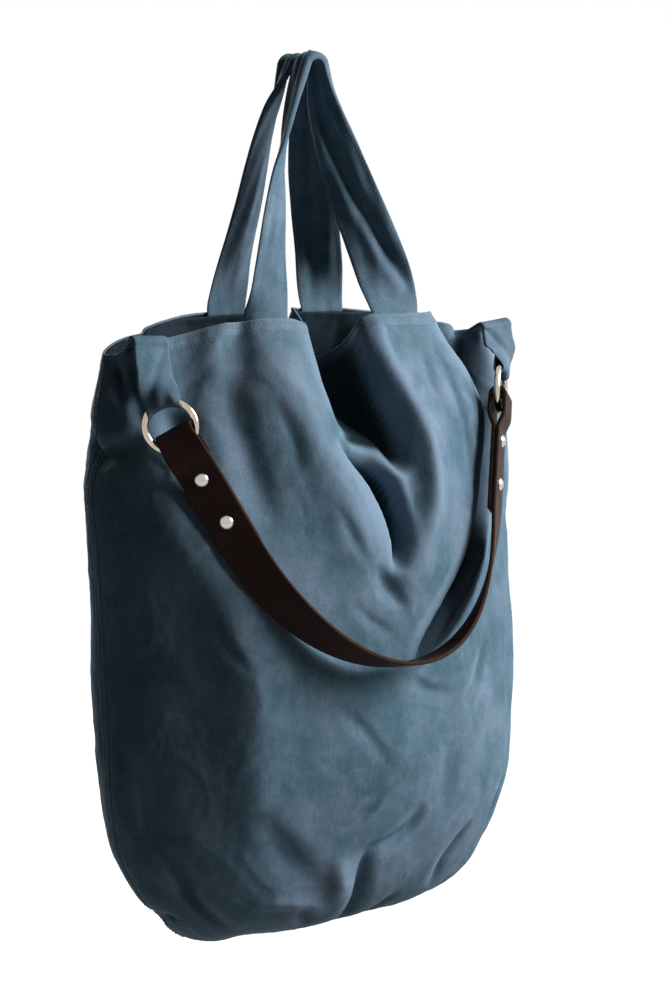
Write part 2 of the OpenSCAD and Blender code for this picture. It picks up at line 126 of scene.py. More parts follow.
def run_along(line):
    """Distance from the start of a line to each of its points."""
    return np.concatenate([[0], np.cumsum(np.linalg.norm(np.diff(line, axis=0), axis=1))])


def at_runs(runs, line_runs, line):
    """Points of a line at these distances from its start."""
    return np.stack([np.interp(runs, line_runs, line[:, k]) for k in range(3)], -1)


def curve3(a, b, c, t):
    return lerp(lerp(a, b, t), lerp(b, c, t), t)


def cubic(a, b, c, d, t):
    return lerp(curve3(a, b, c, t), curve3(b, c, d, t), t)


def sind(a):
    return np.sin(np.radians(a))


def cosd(a):
    return np.cos(np.radians(a))


def through(points, steps):
    """A smooth line through rows of numbers."""
    p = np.array(points, float)
    p = np.vstack([2 * p[0] - p[1], p, 2 * p[-1] - p[-2]])
    t = np.linspace(0, 1, steps, endpoint=False)[:, None]
    parts = [
        0.5 * (2 * b + (c - a) * t + (2 * a - 5 * b + 4 * c - d) * t**2 + (3 * b - a - 3 * c + d) * t**3)
        for a, b, c, d in zip(p, p[1:], p[2:], p[3:])
    ]
    return np.vstack(parts + [p[-2:-1]])


NOISE_CELLS = 128


def noise(x, y, cell, seed):
    """Smooth gradient noise from -1 to 1, which closes on itself once round the bag."""
    around = AROUND // cell
    angle = np.random.RandomState(seed).rand(NOISE_CELLS, NOISE_CELLS) * math.tau
    fx, fy = x / cell, y / cell
    ix, iy = np.floor(fx).astype(int), np.floor(fy).astype(int)
    tx, ty = fx - ix, fy - iy

    def corner(dx, dy):
        turn = angle[(ix + dx) % around, (iy + dy) % NOISE_CELLS]
        return np.cos(turn) * (tx - dx) + np.sin(turn) * (ty - dy)

    low = lerp(corner(0, 0), corner(1, 0), ease(tx))
    high = lerp(corner(0, 1), corner(1, 1), ease(tx))
    return 1.6 * lerp(low, high, ease(ty))


# The bag's surface
def gap_at(u):
    return np.where(cosd(u) > 0, HANDLE_GAP, BACK_GAP)


def dip_at(u):
    k = np.abs(sind(u)) * MOUTH_W / (gap_at(u) - HANDLE_W) / DIP_SHARE
    return np.where(k < 1, cosd(90 * np.minimum(k, 1)) ** 2, 0)


def rim_at(u):
    share = gap_at(u) / MOUTH_W
    fall = (np.maximum(0, np.abs(sind(u)) - share) / (1 - share)) ** 2
    return RIM_Z - CORNER_DROP * fall - RIM_DIP * dip_at(u)


def skin(u, v, off=0.0):
    """Point of the undisturbed outer face: u is the angle from the middle of the front, v 0 at the
    bottom seam and 1 at the rim."""
    u, v, off = floats(u, v, off)
    su, cu = sind(u), cosd(u)
    up = np.clip((v - TURN_SHARE) / (1 - TURN_SHARE), 0, 1.1)
    half_w = lerp(BAG_W, MOUTH_W, up**WIDTH_POWER) / 2
    half_d = lerp(BAG_D, MOUTH_D, up**DEPTH_POWER) / 2
    side = [
        (half_w + off) * su,
        -(half_d + off - MOUTH_SAG * dip_at(u) * up**SAG_POWER) * cu,
        lerp(TURN_Z, rim_at(u), up),
    ]
    turn = np.clip(v / TURN_SHARE, 0, 1)
    out, low = sind(90 * turn) ** BOTTOM_SQUARE, np.maximum(cosd(90 * turn), 0) ** BOTTOM_SQUARE
    bottom = [
        (lerp(SEAM_LEN, BAG_W, out) / 2 + off * out) * su,
        -(BAG_D / 2 + off) * out * cu,
        TURN_Z - (ROUND_H + off) * low,
    ]
    p = [np.where(v < TURN_SHARE, b, s) for b, s in zip(bottom, side)]
    return np.stack([p[0] + LEAN * (RIM_Z - p[2]) / BAG_H, p[1], p[2]], -1)


def v_at(u, z):
    """Share of the height at which the surface passes a height z."""
    u, z = floats(u, z)
    on_side = TURN_SHARE + (1 - TURN_SHARE) * (z - TURN_Z) / (rim_at(u) - TURN_Z)
    low = np.clip((TURN_Z - z) / ROUND_H, 0, 1) ** (1 / BOTTOM_SQUARE)
    on_bottom = TURN_SHARE * np.degrees(np.arccos(low)) / 90
    return np.where(z > TURN_Z, on_side, on_bottom)


# Rows and columns of the shell, evenly spaced on the surface and closer at the hem
COLUMNS, BODY_ROWS, HEM_ROWS, HEM_H = 440, 230, 22, 24
us = -90 + 360 * np.arange(COLUMNS) / COLUMNS


def row_shares():
    v = np.linspace(0, 1, 3001)
    steps = [np.linalg.norm(np.diff(skin(u, v), axis=0), axis=1) for u in (0, 40, 80, 180)]
    length = np.concatenate([[0], np.cumsum(np.mean(steps, axis=0))])
    body = np.linspace(0, length[-1] - HEM_H, BODY_ROWS, endpoint=False)
    hem = np.linspace(length[-1] - HEM_H, length[-1], HEM_ROWS)
    at = np.concatenate([body, hem])
    return np.interp(at, length, v), at


vs, arc_v = row_shares()
ROWS = len(vs)
arc_u = AROUND * np.arange(COLUMNS) / COLUMNS


def grid_normals(p):
    du = np.roll(p, -1, 1) - np.roll(p, 1, 1)
    dv = np.gradient(p, axis=0)
    n = unit(np.cross(du, dv))
    n[0] = (0, 0, -1)
    return n


# Folds and creases from the top down or from left to right. Each point is (angle, height, depth, width),
# with a second width where the right or upper side differs. A depth below 0 stands out.
# A wall is soft to the left of its line and falls straight, with a sharp edge, to the right.
SOFT, FIRM, SHARP, WALL = 2.0, 1.6, 1.3, 0.0
WALL_REACH, WALL_POWER = 1.5, 1.2
FOLD_REACH, LIP_AT, LIP_W = 2.6, 1.1, 0.6


def fold(sharpness, *points, overhang=0):
    """A fold's points with both their widths, its sharpness and how far it hangs over."""
    return [(*p, p[3])[:5] for p in points], sharpness, overhang


FOLDS = [
    # between the handles
    fold(WALL, (1, -190, 34, 30, 15), (1, -212, 34, 28, 13), (1, -230, 34, 26, 12),
         (2, -243, 33, 25, 11), (4, -256, 31, 25, 9), (7, -267, 28, 24, 8), (9, -280, 23, 20, 7),
         (10, -292, 17, 14, 6), (11, -308, 0, 8, 5), overhang=4),
    fold(WALL, (-7, -280, 0, 4), (-3, -295, 14, 7), (1, -305, 24, 11, 10), (4, -320, 34, 14, 11),
         (6, -338, 32, 13, 10), (7, -358, 20, 10, 8), (6, -380, 0, 6, 5), overhang=10),
    fold(SHARP, (-6, -280, 0, 4), (0, -280, 5, 4), (5, -287, 0, 4)),
    # beside the right handle
    fold(WALL, (36, -190, 20, 9, 18), (40, -210, 22, 9, 17), (47, -230, 24, 9, 14),
         (52, -252, 25, 9, 11), (54, -275, 26, 9), (50, -300, 26, 9), (45, -330, 27, 9, 8),
         (40, -350, 26, 9, 8), (32, -380, 23, 8, 7), (22, -410, 19, 7, 6), (14, -435, 13, 6, 5),
         (10, -458, 0, 4), overhang=9),
    fold(SOFT, (14, -190, 0, 9, 18), (10, -210, -6, 9, 18), (10, -235, -13, 8, 22),
         (13, -260, -14, 8, 24), (16, -285, -14, 8, 24), (17, -315, -13, 8, 24),
         (16, -340, -11, 10, 22), (12, -375, -7, 16, 20), (4, -410, 0, 20)),
    fold(SOFT, (54, -190, 14, 15, 11), (56, -215, 16, 15, 11), (57, -240, 12, 12, 9), (57, -262, 0, 9)),
    fold(SOFT, (72, -205, 0, 8), (70, -235, -6, 9), (67, -270, -7, 9), (61, -320, -6, 10),
         (54, -370, 0, 10)),
    fold(SOFT, (-58, -248, 0, 8), (-52, -262, 7, 10), (-45, -277, 0, 9)),
    # below the left handle
    fold(SOFT, (-22, -190, 0, 20), (-20, -225, -7, 22, 20), (-16, -255, -9, 22, 18),
         (-13, -285, -9, 22, 18), (-9, -315, -8, 22, 20), (-4, -350, -7, 22, 20), (0, -385, 0, 20)),
    fold(SOFT, (-29, -190, 4, 10), (-30, -215, 8, 14), (-34, -240, 8, 14, 12), (-33, -260, 8, 14, 12),
         (-31, -290, 7, 14, 12), (-29, -320, 5, 14, 12), (-28, -345, 0, 14)),
    fold(SOFT, (-46, -195, 5, 18), (-47, -230, 8, 22), (-46, -270, 6, 22), (-44, -320, 0, 18)),
    fold(FIRM, (-28, -192, 2, 6, 8), (-36, -215, 3, 6, 9), (-46, -235, 2, 6, 9), (-54, -250, 0, 6, 8)),
    fold(FIRM, (-1, -370, 0, 6, 8), (3, -390, 7, 6, 8), (8, -412, 0, 6)),
    # thin creases in the lit cloth
    fold(SHARP, (-12, -318, 0, 3, 4), (-8, -345, 3, 3, 4), (-3, -372, 0, 3, 4)),
    fold(SHARP, (-24, -245, 0, 4), (-20, -275, 3, 4, 5), (-19, -310, 0, 3, 4)),
    fold(SHARP, (-8, -395, 0, 3, 4), (-2, -415, 3, 3, 4), (5, -428, 0, 3, 4)),
    fold(SHARP, (28, -215, 0, 4), (33, -245, 4, 4, 5), (36, -285, 3, 4), (34, -320, 0, 3, 4)),
    fold(SHARP, (24, -212, 0, 4), (24, -240, 3, 4, 5), (27, -270, 0, 3, 4)),
    fold(SHARP, (-22, -400, 0, 3, 4), (-14, -430, 3, 3, 4), (-4, -450, 0, 3, 4)),
    fold(SHARP, (-14, -470, 0, 4), (-6, -495, 3, 4, 5), (2, -530, 0, 4)),
    fold(FIRM, (40, -440, 0, 4, 5), (34, -470, 4, 4, 5), (26, -500, 0, 4)),
    fold(SHARP, (-46, -395, 0, 3, 4), (-40, -425, 2, 3, 4), (-33, -445, 0, 3, 4)),
    fold(SHARP, (0, -540, 0, 4), (-5, -560, 3, 4), (-12, -575, 0, 4)),
    # round the left tab
    fold(FIRM, (-83, -205, 6, 5, 6), (-82, -220, 12, 5, 7), (-76, -235, 10, 5, 6), (-72, -250, 0, 5)),
    fold(FIRM, (-69, -205, 4, 5, 6), (-68, -220, 8, 6, 7), (-66, -240, 5, 6), (-63, -268, 0, 5)),
    fold(FIRM, (-108, -262, 0, 12, 6), (-98, -272, 8, 14, 6), (-86, -285, 11, 14, 5),
         (-74, -281, 9, 12, 5), (-62, -272, 0, 10, 5), overhang=3),
    fold(SOFT, (-60, -290, 0, 18), (-57, -315, -4, 18), (-52, -345, -6, 18), (-42, -385, -5, 18),
         (-38, -415, -5, 18), (-34, -455, -5, 20), (-30, -505, 0, 20)),
    # the lower body
    fold(SOFT, (-38, -450, 0, 22, 18), (-35, -490, -4, 24, 18), (-34, -540, -5, 24, 18),
         (-27, -565, -4, 22, 18), (-15, -590, 0, 20, 16)),
    fold(SOFT, (-34, -540, 0, 10), (-30, -565, 4, 12), (-24, -595, 4, 12), (-12, -622, 0, 9)),
    fold(SOFT, (-68, -500, 0, 10), (-66, -545, 5, 10), (-62, -575, 5, 10), (-62, -600, 0, 9)),
    fold(FIRM, (-63, -575, 0, 7), (-60, -600, 8, 7, 9), (-59, -620, 9, 7, 9), (-54, -640, 8, 7, 8),
         (-46, -658, 0, 7), overhang=2),
    fold(FIRM, (-3, -585, 0, 6, 7), (-4, -605, 7, 6, 8), (-4, -625, 9, 6, 8), (-3, -648, 7, 6, 8),
         (-3, -664, 0, 6), overhang=2),
    fold(SOFT, (-12, -585, 0, 8), (-11, -610, -4, 8), (-10, -640, 0, 8)),
    fold(FIRM, (35, -590, 0, 6), (31, -610, 8, 6, 7), (29, -627, 8, 6, 7), (32, -650, 0, 6), overhang=2),
    fold(SOFT, (-40, -628, 0, 8), (-29, -624, -5, 8), (-20, -632, -4, 8), (-13, -648, 0, 8)),
    fold(FIRM, (-22, -628, 0, 5), (-20, -645, 5, 5, 6), (-18, -662, 0, 5)),
    fold(FIRM, (12, -560, 0, 6), (10, -578, 5, 6), (3, -590, 4, 6), (-4, -590, 0, 6)),
    fold(SHARP, (8, -458, 0, 4), (14, -473, 4, 5, 4), (24, -482, 0, 4)),
    fold(SOFT, (25, -505, 0, 12), (20, -545, 4, 12), (20, -585, 0, 12)),
    fold(SOFT, (52, -560, 0, 9), (55, -600, 6, 9), (60, -635, 0, 9)),
    fold(FIRM, (14, -640, 0, 6, 7), (12, -654, 4, 6, 7), (10, -668, 0, 6)),
    # the back, which the main view doesn't show
    fold(SOFT, (178, -190, 20, 15), (180, -225, 20, 14, 13), (184, -260, 14, 10), (188, -300, 6, 8),
         (190, -330, 0, 8), overhang=4),
    fold(SOFT, (158, -192, 0, 16), (160, -235, -8, 20), (164, -300, -8, 20), (170, -370, 0, 20)),
    fold(SOFT, (204, -192, 0, 16), (202, -230, -7, 20), (198, -290, -8, 20), (190, -360, 0, 20)),
    fold(FIRM, (132, -205, 8, 9), (134, -240, 12, 9), (140, -290, 10, 9), (150, -350, 6, 8),
         (158, -400, 0, 8), overhang=3),
    fold(FIRM, (228, -205, 8, 9), (226, -245, 11, 9), (220, -300, 9, 9), (212, -360, 0, 8), overhang=3),
    fold(SOFT, (150, -480, 0, 14), (158, -530, -5, 16), (170, -580, 0, 14)),
    fold(SOFT, (205, -500, 0, 14), (200, -560, -5, 16), (190, -600, 0, 14)),
    fold(FIRM, (170, -600, 0, 7), (172, -630, 7, 7, 8), (176, -660, 0, 7)),
    fold(FIRM, (206, -600, 0, 7), (202, -630, 7, 7, 8), (196, -658, 0, 7)),
    fold(FIRM, (120, -560, 0, 9), (122, -600, 7, 9), (126, -640, 0, 8)),
    fold(FIRM, (238, -560, 0, 9), (236, -600, 7, 9), (232, -640, 0, 8)),
    # the sides, where the boxed corners pull the cloth in
    fold(FIRM, (-112, -640, 0, 6), (-98, -642, 6, 8, 6), (-82, -642, 6, 8, 6), (-68, -636, 0, 6)),
    fold(FIRM, (68, -636, 0, 6), (82, -642, 6, 8, 6), (98, -642, 6, 8, 6), (112, -640, 0, 6)),
    fold(FIRM, (104, -225, 8, 6, 7), (102, -250, 9, 6, 7), (98, -280, 0, 6)),
    fold(FIRM, (82, -220, 6, 6, 7), (80, -250, 8, 6, 7), (84, -285, 0, 6)),
]
# Broad swellings as (angle, height, angle spread, height spread, amount)
SWELLS = [
    (-84, -305, 26, 55, 7), (70, -480, 30, 60, 4), (0, -520, 40, 60, 3), (180, -480, 50, 90, 4),
    (-50, -480, 30, 80, -2), (35, -560, 22, 45, 3), (-34, -430, 15, 110, 9),
]
# Distance of the handles' feet from the middle
HANDLE_PLACES = [(FRONT, 57), (BACK, 45)]


def fold_push(p, n, points, sharpness, overhang):
    """How one fold moves the points p with normals n."""
    s = through(points, 20)
    line = skin(s[:, 0], v_at(s[:, 0], np.minimum(s[:, 1], rim_at(s[:, 0]) + 4)))
    along = unit(np.gradient(line, axis=0))
    reach = FOLD_REACH * s[:, 3:].max() + 4
    near = ((p > line.min(0) - reach) & (p < line.max(0) + reach)).all(-1)
    q, m = p[near], n[near]
    d2 = (q**2).sum(-1)[:, None] + (line**2).sum(-1)[None] - 2 * q @ line.T
    k = d2.argmin(1)
    gap = q - line[k]
    inside = ((k > 0) & (k < len(line) - 1))[:, None]
    gap = np.where(inside, gap - (gap * along[k]).sum(-1, keepdims=True) * along[k], gap)
    aside = unit(np.cross(m, along[k]))
    right = (gap * aside).sum(-1)
    width = np.where(right > 0, s[k, 4], s[k, 3])
    x = np.linalg.norm(gap, axis=-1) / width
    if sharpness == WALL:
        drop = np.where(right > 0, np.clip(1 - x / WALL_REACH, 0, 1) ** WALL_POWER, gauss(x, 0, 1))
    else:
        drop = np.exp(-(x**sharpness))
    push = (-s[k, 2] * drop)[:, None] * m
    if overhang:
        share = np.clip(s[k, 2] / max(abs(s[:, 2]).max(), 1), 0, 1)
        lip = np.where(right < 0, gauss(x, LIP_AT, LIP_W), 0) * share
        push += overhang * lip[:, None] * aside
    out = np.zeros_like(p)
    out[near] = push
    return out


# The hem: its height, and how far below the rim its two rows of stitches run
HEM_FOLD, HEM_STITCHES = 11, (2.6, 9.0)
SEAM_HALF_TURN = 0.0016


def ridges(x, y, cell, seed, thinness=3.4):
    """Thin ridges where a noise passes through nothing."""
    return np.maximum(1 - thinness * np.abs(noise(x, y, cell, seed)), 0) ** 3


def crumples(x, y):
    """Height of the waxed cloth's crumples: soft patches, then fine ridges where they meet."""
    warp_x, warp_y = 14 * noise(x, y, 60, 3), 14 * noise(x, y, 60, 4)
    patch = noise(x + warp_x, y + warp_y, 60, 5)
    often = 0.35 + 0.65 * ease(patch + 0.5)
    creases = 0.55 * ridges(x + warp_x, 0.7 * y + warp_y, 48, 8)
    creases += 0.45 * ridges(x + 0.5 * y, 0.6 * y - warp_x, 30, 21)
    creases += 0.42 * ridges(x - warp_y, y + warp_x, 16, 11, 3.2)
    return 1.9 * patch + creases * often + 0.14 * noise(x, y, 8, 13)


# Half widths of the stretches that a handle and a side seam hold still, how far the hold reaches below
# the rim and fades, and how strong it is
HELD_BY_HANDLE, HANDLE_HOLD_H, HANDLE_FADE, HANDLE_HOLD = 21, 46, 34, 0.45
HELD_BY_SEAM, SEAM_X, SEAM_FADE, SEAM_HOLD = 14, 160, 16, 0.85
BOTTOM_FADE = 26


def freedom(p, y):
    """How freely the cloth moves: less under the handles, at the side seams' rim and at the bottom seam."""
    free = ease(y / BOTTOM_FADE)
    z = p[..., 2] - RIM_Z
    for face, mid in HANDLE_PLACES:
        for side in (LEFT, RIGHT):
            beside = np.abs(p[..., 0] - side * mid) / HELD_BY_HANDLE
            at_handle = np.exp(-(beside**6)) * (p[..., 1] * face > 0)
            free = free * (1 - HANDLE_HOLD * at_handle * ease((z + HANDLE_HOLD_H) / HANDLE_FADE))
    at_seam = np.exp(-((np.abs(np.abs(p[..., 0]) - SEAM_X) / HELD_BY_SEAM) ** 4))
    return free * (1 - SEAM_HOLD * at_seam * ease((z + FACING_H) / SEAM_FADE))


def deformed():
    """The outer face with its folds, as a grid of rows and columns, and how deep its folds are."""
    u, v = np.meshgrid(us, vs)
    p = skin(u, v)
    n = grid_normals(p)
    x, y = np.broadcast_arrays(arc_u[None, :], arc_v[:, None])
    high = crumples(x, y)
    for u0, z0, du, dz, amount in SWELLS:
        turn = (u - u0 + 180) % 360 - 180
        high += amount * gauss(turn, 0, du) * gauss(p[..., 2], z0, dz)
    moved = high[..., None] * n
    for points, sharpness, overhang in FOLDS:
        push = fold_push(p.reshape(-1, 3), n.reshape(-1, 3), points, sharpness, overhang)
        moved += push.reshape(p.shape)
    free = freedom(p, y)
    p = p + moved * free[..., None]
    depth = -(moved * n).sum(-1) * free
    for _ in range(2):
        even = (np.roll(p, 1, 1) + np.roll(p, -1, 1)) / 2
        p[1:-1] = p[1:-1] * 0.7 + 0.15 * even[1:-1] + 0.075 * (p[2:] + p[:-2])
    # two plies thick at the hem, pressed in by the stitches and along the side seams
    below = arc_v[-1] - y
    relief = 0.35 * ease((HEM_FOLD - below) / 1.5)
    relief -= 0.5 * gauss(below, HEM_STITCHES[0], 0.7) + 0.45 * gauss(below, HEM_STITCHES[1], 0.8)
    relief -= 0.6 * gauss(np.abs(sind(u)), 1, SEAM_HALF_TURN) * ease((y - 40) / 20)
    relief += 0.18 * np.sin(x / 1.9) * gauss(below, HEM_FOLD / 2, 5)
    return p + relief[..., None] * grid_normals(p), depth


outer, fold_depth = deformed()
outer_n = grid_normals(outer)


def sample(grid, u, v):
    """The grid between its rows and columns."""
    u, v = floats(u, v)
    c = (u + 90) % 360 / 360 * COLUMNS
    r = np.interp(v, vs, np.arange(ROWS))
    c0, r0 = np.floor(c).astype(int), np.minimum(np.floor(r).astype(int), ROWS - 2)
    tc, tr = (c - c0)[..., None], (r - r0)[..., None]
    c0, c1 = c0 % COLUMNS, (c0 + 1) % COLUMNS
    return lerp(lerp(grid[r0, c0], grid[r0, c1], tc), lerp(grid[r0 + 1, c0], grid[r0 + 1, c1], tc), tr)


def on_cloth(u, v, off=0.0):
    """Point a distance off the folded outer face."""
    off = np.asarray(off, float)
    return sample(outer, u, v) + off[..., None] * unit(sample(outer_n, u, v))


# Meshes
def add(name, points, faces, material, uv=None, wear_and_shade=None):
    """A smooth piece of one material. Points and uv are in millimetres, faces are lists of points."""
    mesh = bpy.data.meshes.new(name)
    faces = faces.tolist() if isinstance(faces, np.ndarray) else faces
    mesh.from_pydata((np.asarray(points).reshape(-1, 3) * MM).tolist(), [], faces)
    if uv is not None:
        corner = np.zeros(len(mesh.loops), np.int32)
        mesh.loops.foreach_get("vertex_index", corner)
        layer = mesh.uv_layers.new(name="cut")
        layer.data.foreach_set("uv", (np.asarray(uv).reshape(-1, 2)[corner] * MM).ravel())
    # per point: wear above 0, painted shade below 0
    if wear_and_shade is not None:
        values = np.asarray(wear_and_shade, np.float32).ravel()
        mesh.attributes.new("wear_and_shade", "FLOAT", "POINT").data.foreach_set("value", values)
    mesh.polygons.foreach_set("use_smooth", np.ones(len(mesh.polygons), bool))
    mesh.materials.append(material)
    piece = bpy.data.objects.new(name, mesh)
    scene.collection.objects.link(piece)
    return piece


def quads(rows, columns, wrap, start=0):
    """Faces of a grid, anticlockwise from outside when columns run to the right and rows go up."""
    r, c = np.meshgrid(np.arange(rows - 1), np.arange(columns if wrap else columns - 1), indexing="ij")
    d = (c + 1) % columns
    low, high = r * columns, (r + 1) * columns
    return start + np.stack([low + c, low + d, high + d, high + c], -1).reshape(-1, 4)


def shell(name, outside, inside, uv, material, wrap=False):
    """A closed sheet between an outer and an inner grid of the same size, with rounded edges."""
    rows, columns = outside.shape[:2]
    size = rows * columns
    faces = [quads(rows, columns, wrap), quads(rows, columns, wrap, size)[:, ::-1]]
    ids = np.arange(size).reshape(rows, columns)

    def edge(line, flip):
        a, b = line[:-1], line[1:]
        if wrap and len(line) == columns:
            a, b = line, np.roll(line, -1)
        q = np.stack([a, b, b + size, a + size], -1)
        faces.append(q[:, ::-1] if flip else q)

    edge(ids[0], True)
    edge(ids[-1], False)
    if not wrap:
        edge(ids[:, 0], False)
        edge(ids[:, -1], True)
    both = np.concatenate([outside.reshape(-1, 3), inside.reshape(-1, 3)])
    return add(name, both, np.concatenate(faces), material, np.tile(uv.reshape(-1, 2), (2, 1)))


def strip_frame(middle, width):
    """Directions across a strip and out of it, at each point of its middle line."""
    along = unit(np.gradient(middle, axis=0))
    w = across(np.broadcast_to(width, middle.shape), along)
    return w, np.cross(along, w)


EDGE_POWER, CUT_EDGE_POWER = 24, 60


def band(name, middle, width_dir, half_w, half_t, material, columns=21, relief=None, edge_power=EDGE_POWER,
         move=None):
    """A strip along a path. relief(row, a) bends its section, a from -1 to 1 across the strip."""
    middle, rows = np.asarray(middle, float), len(middle)
    w, out = strip_frame(middle, width_dir)
    half_w, half_t = (np.broadcast_to(half, rows).astype(float) for half in (half_w, half_t))
    a = sind(90 * np.linspace(-1, 1, columns))
    lift = relief(np.arange(rows)[:, None] / (rows - 1), a[None, :]) if relief else 0.0
    lift = np.broadcast_to(lift, (rows, columns))
    body = (1 - np.abs(a) ** edge_power) ** 0.5
    length = run_along(middle)
    points, uv = [], []
    for sign, order in ((1, slice(None)), (-1, slice(-2, 0, -1))):
        s, b, h = a[order], body[order], lift[:, order]
        across_by = s[None, :, None] * half_w[:, None, None] * w[:, None]
        out_by = (h + sign * b[None, :] * half_t[:, None])[..., None] * out[:, None]
        points.append(middle[:, None] + across_by + out_by)
        uv.append(side_by_side(s[None, :] * half_w[:, None], length[:, None]))
    points, uv = np.concatenate(points, 1), np.concatenate(uv, 1)
    n = points.shape[1]
    ends = [list(range(n)), [(rows - 1) * n + k for k in range(n - 1, -1, -1)]]
    faces = quads(rows, n, True)[:, ::-1].tolist() + ends
    return add(name, move(points) if move else points, faces, material, uv)


def tubes(name, paths, radius, material, sides=6):
    """Many short round threads in one mesh."""
    paths = np.asarray(paths, float)
    count, rows = paths.shape[:2]
    along = unit(np.gradient(paths, axis=1))
    helper = np.where(np.abs(along[..., 2:3]) > 0.8, arr(1, 0, 0), arr(0, 0, 1))
    x = unit(np.cross(along, helper))
    y = np.cross(along, x)
    turn = np.arange(sides) * 2 * math.pi / sides
    taper = np.array([0.55] + [1] * (rows - 2) + [0.55])
    ring = radius * (np.cos(turn)[:, None] * x[..., None, :] + np.sin(turn)[:, None] * y[..., None, :])
    points = paths[..., None, :] + ring * taper[None, :, None, None]
    one = quads(rows, sides, True)
    caps = [list(range(sides))[::-1], [(rows - 1) * sides + k for k in range(sides)]]
    faces = []
    for start in np.arange(count) * rows * sides:
        faces += (one + start).tolist() + [[int(start) + c for c in cap] for cap in caps]
    return add(name, points, faces, material)


# Length, gap and thickness of a stitch, and how near a strip's edge its stitches run, as a share of
# half its width
STITCH, STITCH_GAP, THREAD_R, STITCH_AT = 2.6, 0.9, 0.25, 0.87


def stitches(line, normals, stand):
    """Paths of a row of stitches along a line: each rises out of the cloth and dips back."""
    length = run_along(line)
    starts = np.arange(0, length[-1] - STITCH, STITCH + STITCH_GAP)
    at = starts[:, None] + np.linspace(0, STITCH, 5)[None, :]
    rise = np.array([-0.5, 0.0, 0.1, 0.0, -0.5]) + stand
    return at_runs(at, length, line) + rise[None, :, None] * unit(at_runs(at, length, normals))


# Materials
def node(tree, kind, inputs=None, **settings):
    made = tree.nodes.new(kind)
    for key, value in settings.items():
        setattr(made, key, value)
    for key, value in (inputs or {}).items():
        if isinstance(value, bpy.types.NodeSocket):
            tree.links.new(value, made.inputs[key])
        else:
            made.inputs[key].default_value = value
    return made


def shader(name, **sockets):
    material = bpy.data.materials.new(name)
    material.use_nodes = True
    principled = material.node_tree.nodes["Principled BSDF"]
    for key, value in sockets.items():
        principled.inputs[key.replace("_", " ")].default_value = value
    return material, material.node_tree, principled


def ramp(tree, factor, *stops):
    made = node(tree, "ShaderNodeValToRGB", {"Fac": factor})
    elements = made.color_ramp.elements
    while len(elements) < len(stops):
        elements.new(0.5)
    for element, (place, color) in zip(elements, stops):
        element.position, element.color = place, (*color, 1)
    return made.outputs["Color"]


def place(tree, kind="Object"):
    return node(tree, "ShaderNodeTexCoord").outputs[kind]


def fuzz(tree, where, scale, detail=3.0, rough=0.55, output="Fac"):
    return node(tree, "ShaderNodeTexNoise",
                {"Vector": where, "Scale": scale, "Detail": detail, "Roughness": rough}).outputs[output]


def blended(tree, factor, a, b, kind="MIX"):
    """Two colours mixed; the sockets of a colour mix are numbers 0, 6 and 7, and its result is 2."""
    return node(tree, "ShaderNodeMix", {0: factor, 6: a, 7: b}, data_type="RGBA", blend_type=kind).outputs[2]


def maths(tree, operation, a, b):
    return node(tree, "ShaderNodeMath", {0: a, 1: b}, operation=operation).outputs[0]


def scaled(tree, value, factor, plus=0.0):
    return maths(tree, "ADD", maths(tree, "MULTIPLY", value, factor), plus)


def tint(color, factor):
    return tuple(factor * c for c in color)


def bump(tree, principled, *layers):
    """Height maps as (height, distance in metres, strength), one on another."""
    normal = None
    for height, distance, strength in layers:
        made = node(tree, "ShaderNodeBump", {"Height": height, "Distance": distance, "Strength": strength})
        if normal is not None:
            tree.links.new(normal, made.inputs["Normal"])
        normal = made.outputs["Normal"]
    tree.links.new(normal, principled.inputs["Normal"])


THREAD_PITCH = 0.0009


def weave(tree):
    """Plain weave: two sets of threads, over and under."""
    cut = place(tree, "UV")
    scale = math.tau / 20 / THREAD_PITCH
    inputs = {"Vector": cut, "Scale": scale, "Distortion": 0.4, "Detail": 1.0}
    bands = [node(tree, "ShaderNodeTexWave", inputs, bands_direction=axis).outputs["Fac"] for axis in "XY"]
    return maths(tree, "MULTIPLY", bands[0], bands[1])


WHITE, BLACK = (1, 1, 1), (0, 0, 0)
# How much paler worn cloth gets, and the painted shade deep in the folds: the share of the dark colour it
# darkens to and its strength
WORN_TINT, FOLD_SHADE_TINT, FOLD_SHADE_SHARE = 1.45, 0.06, -0.8


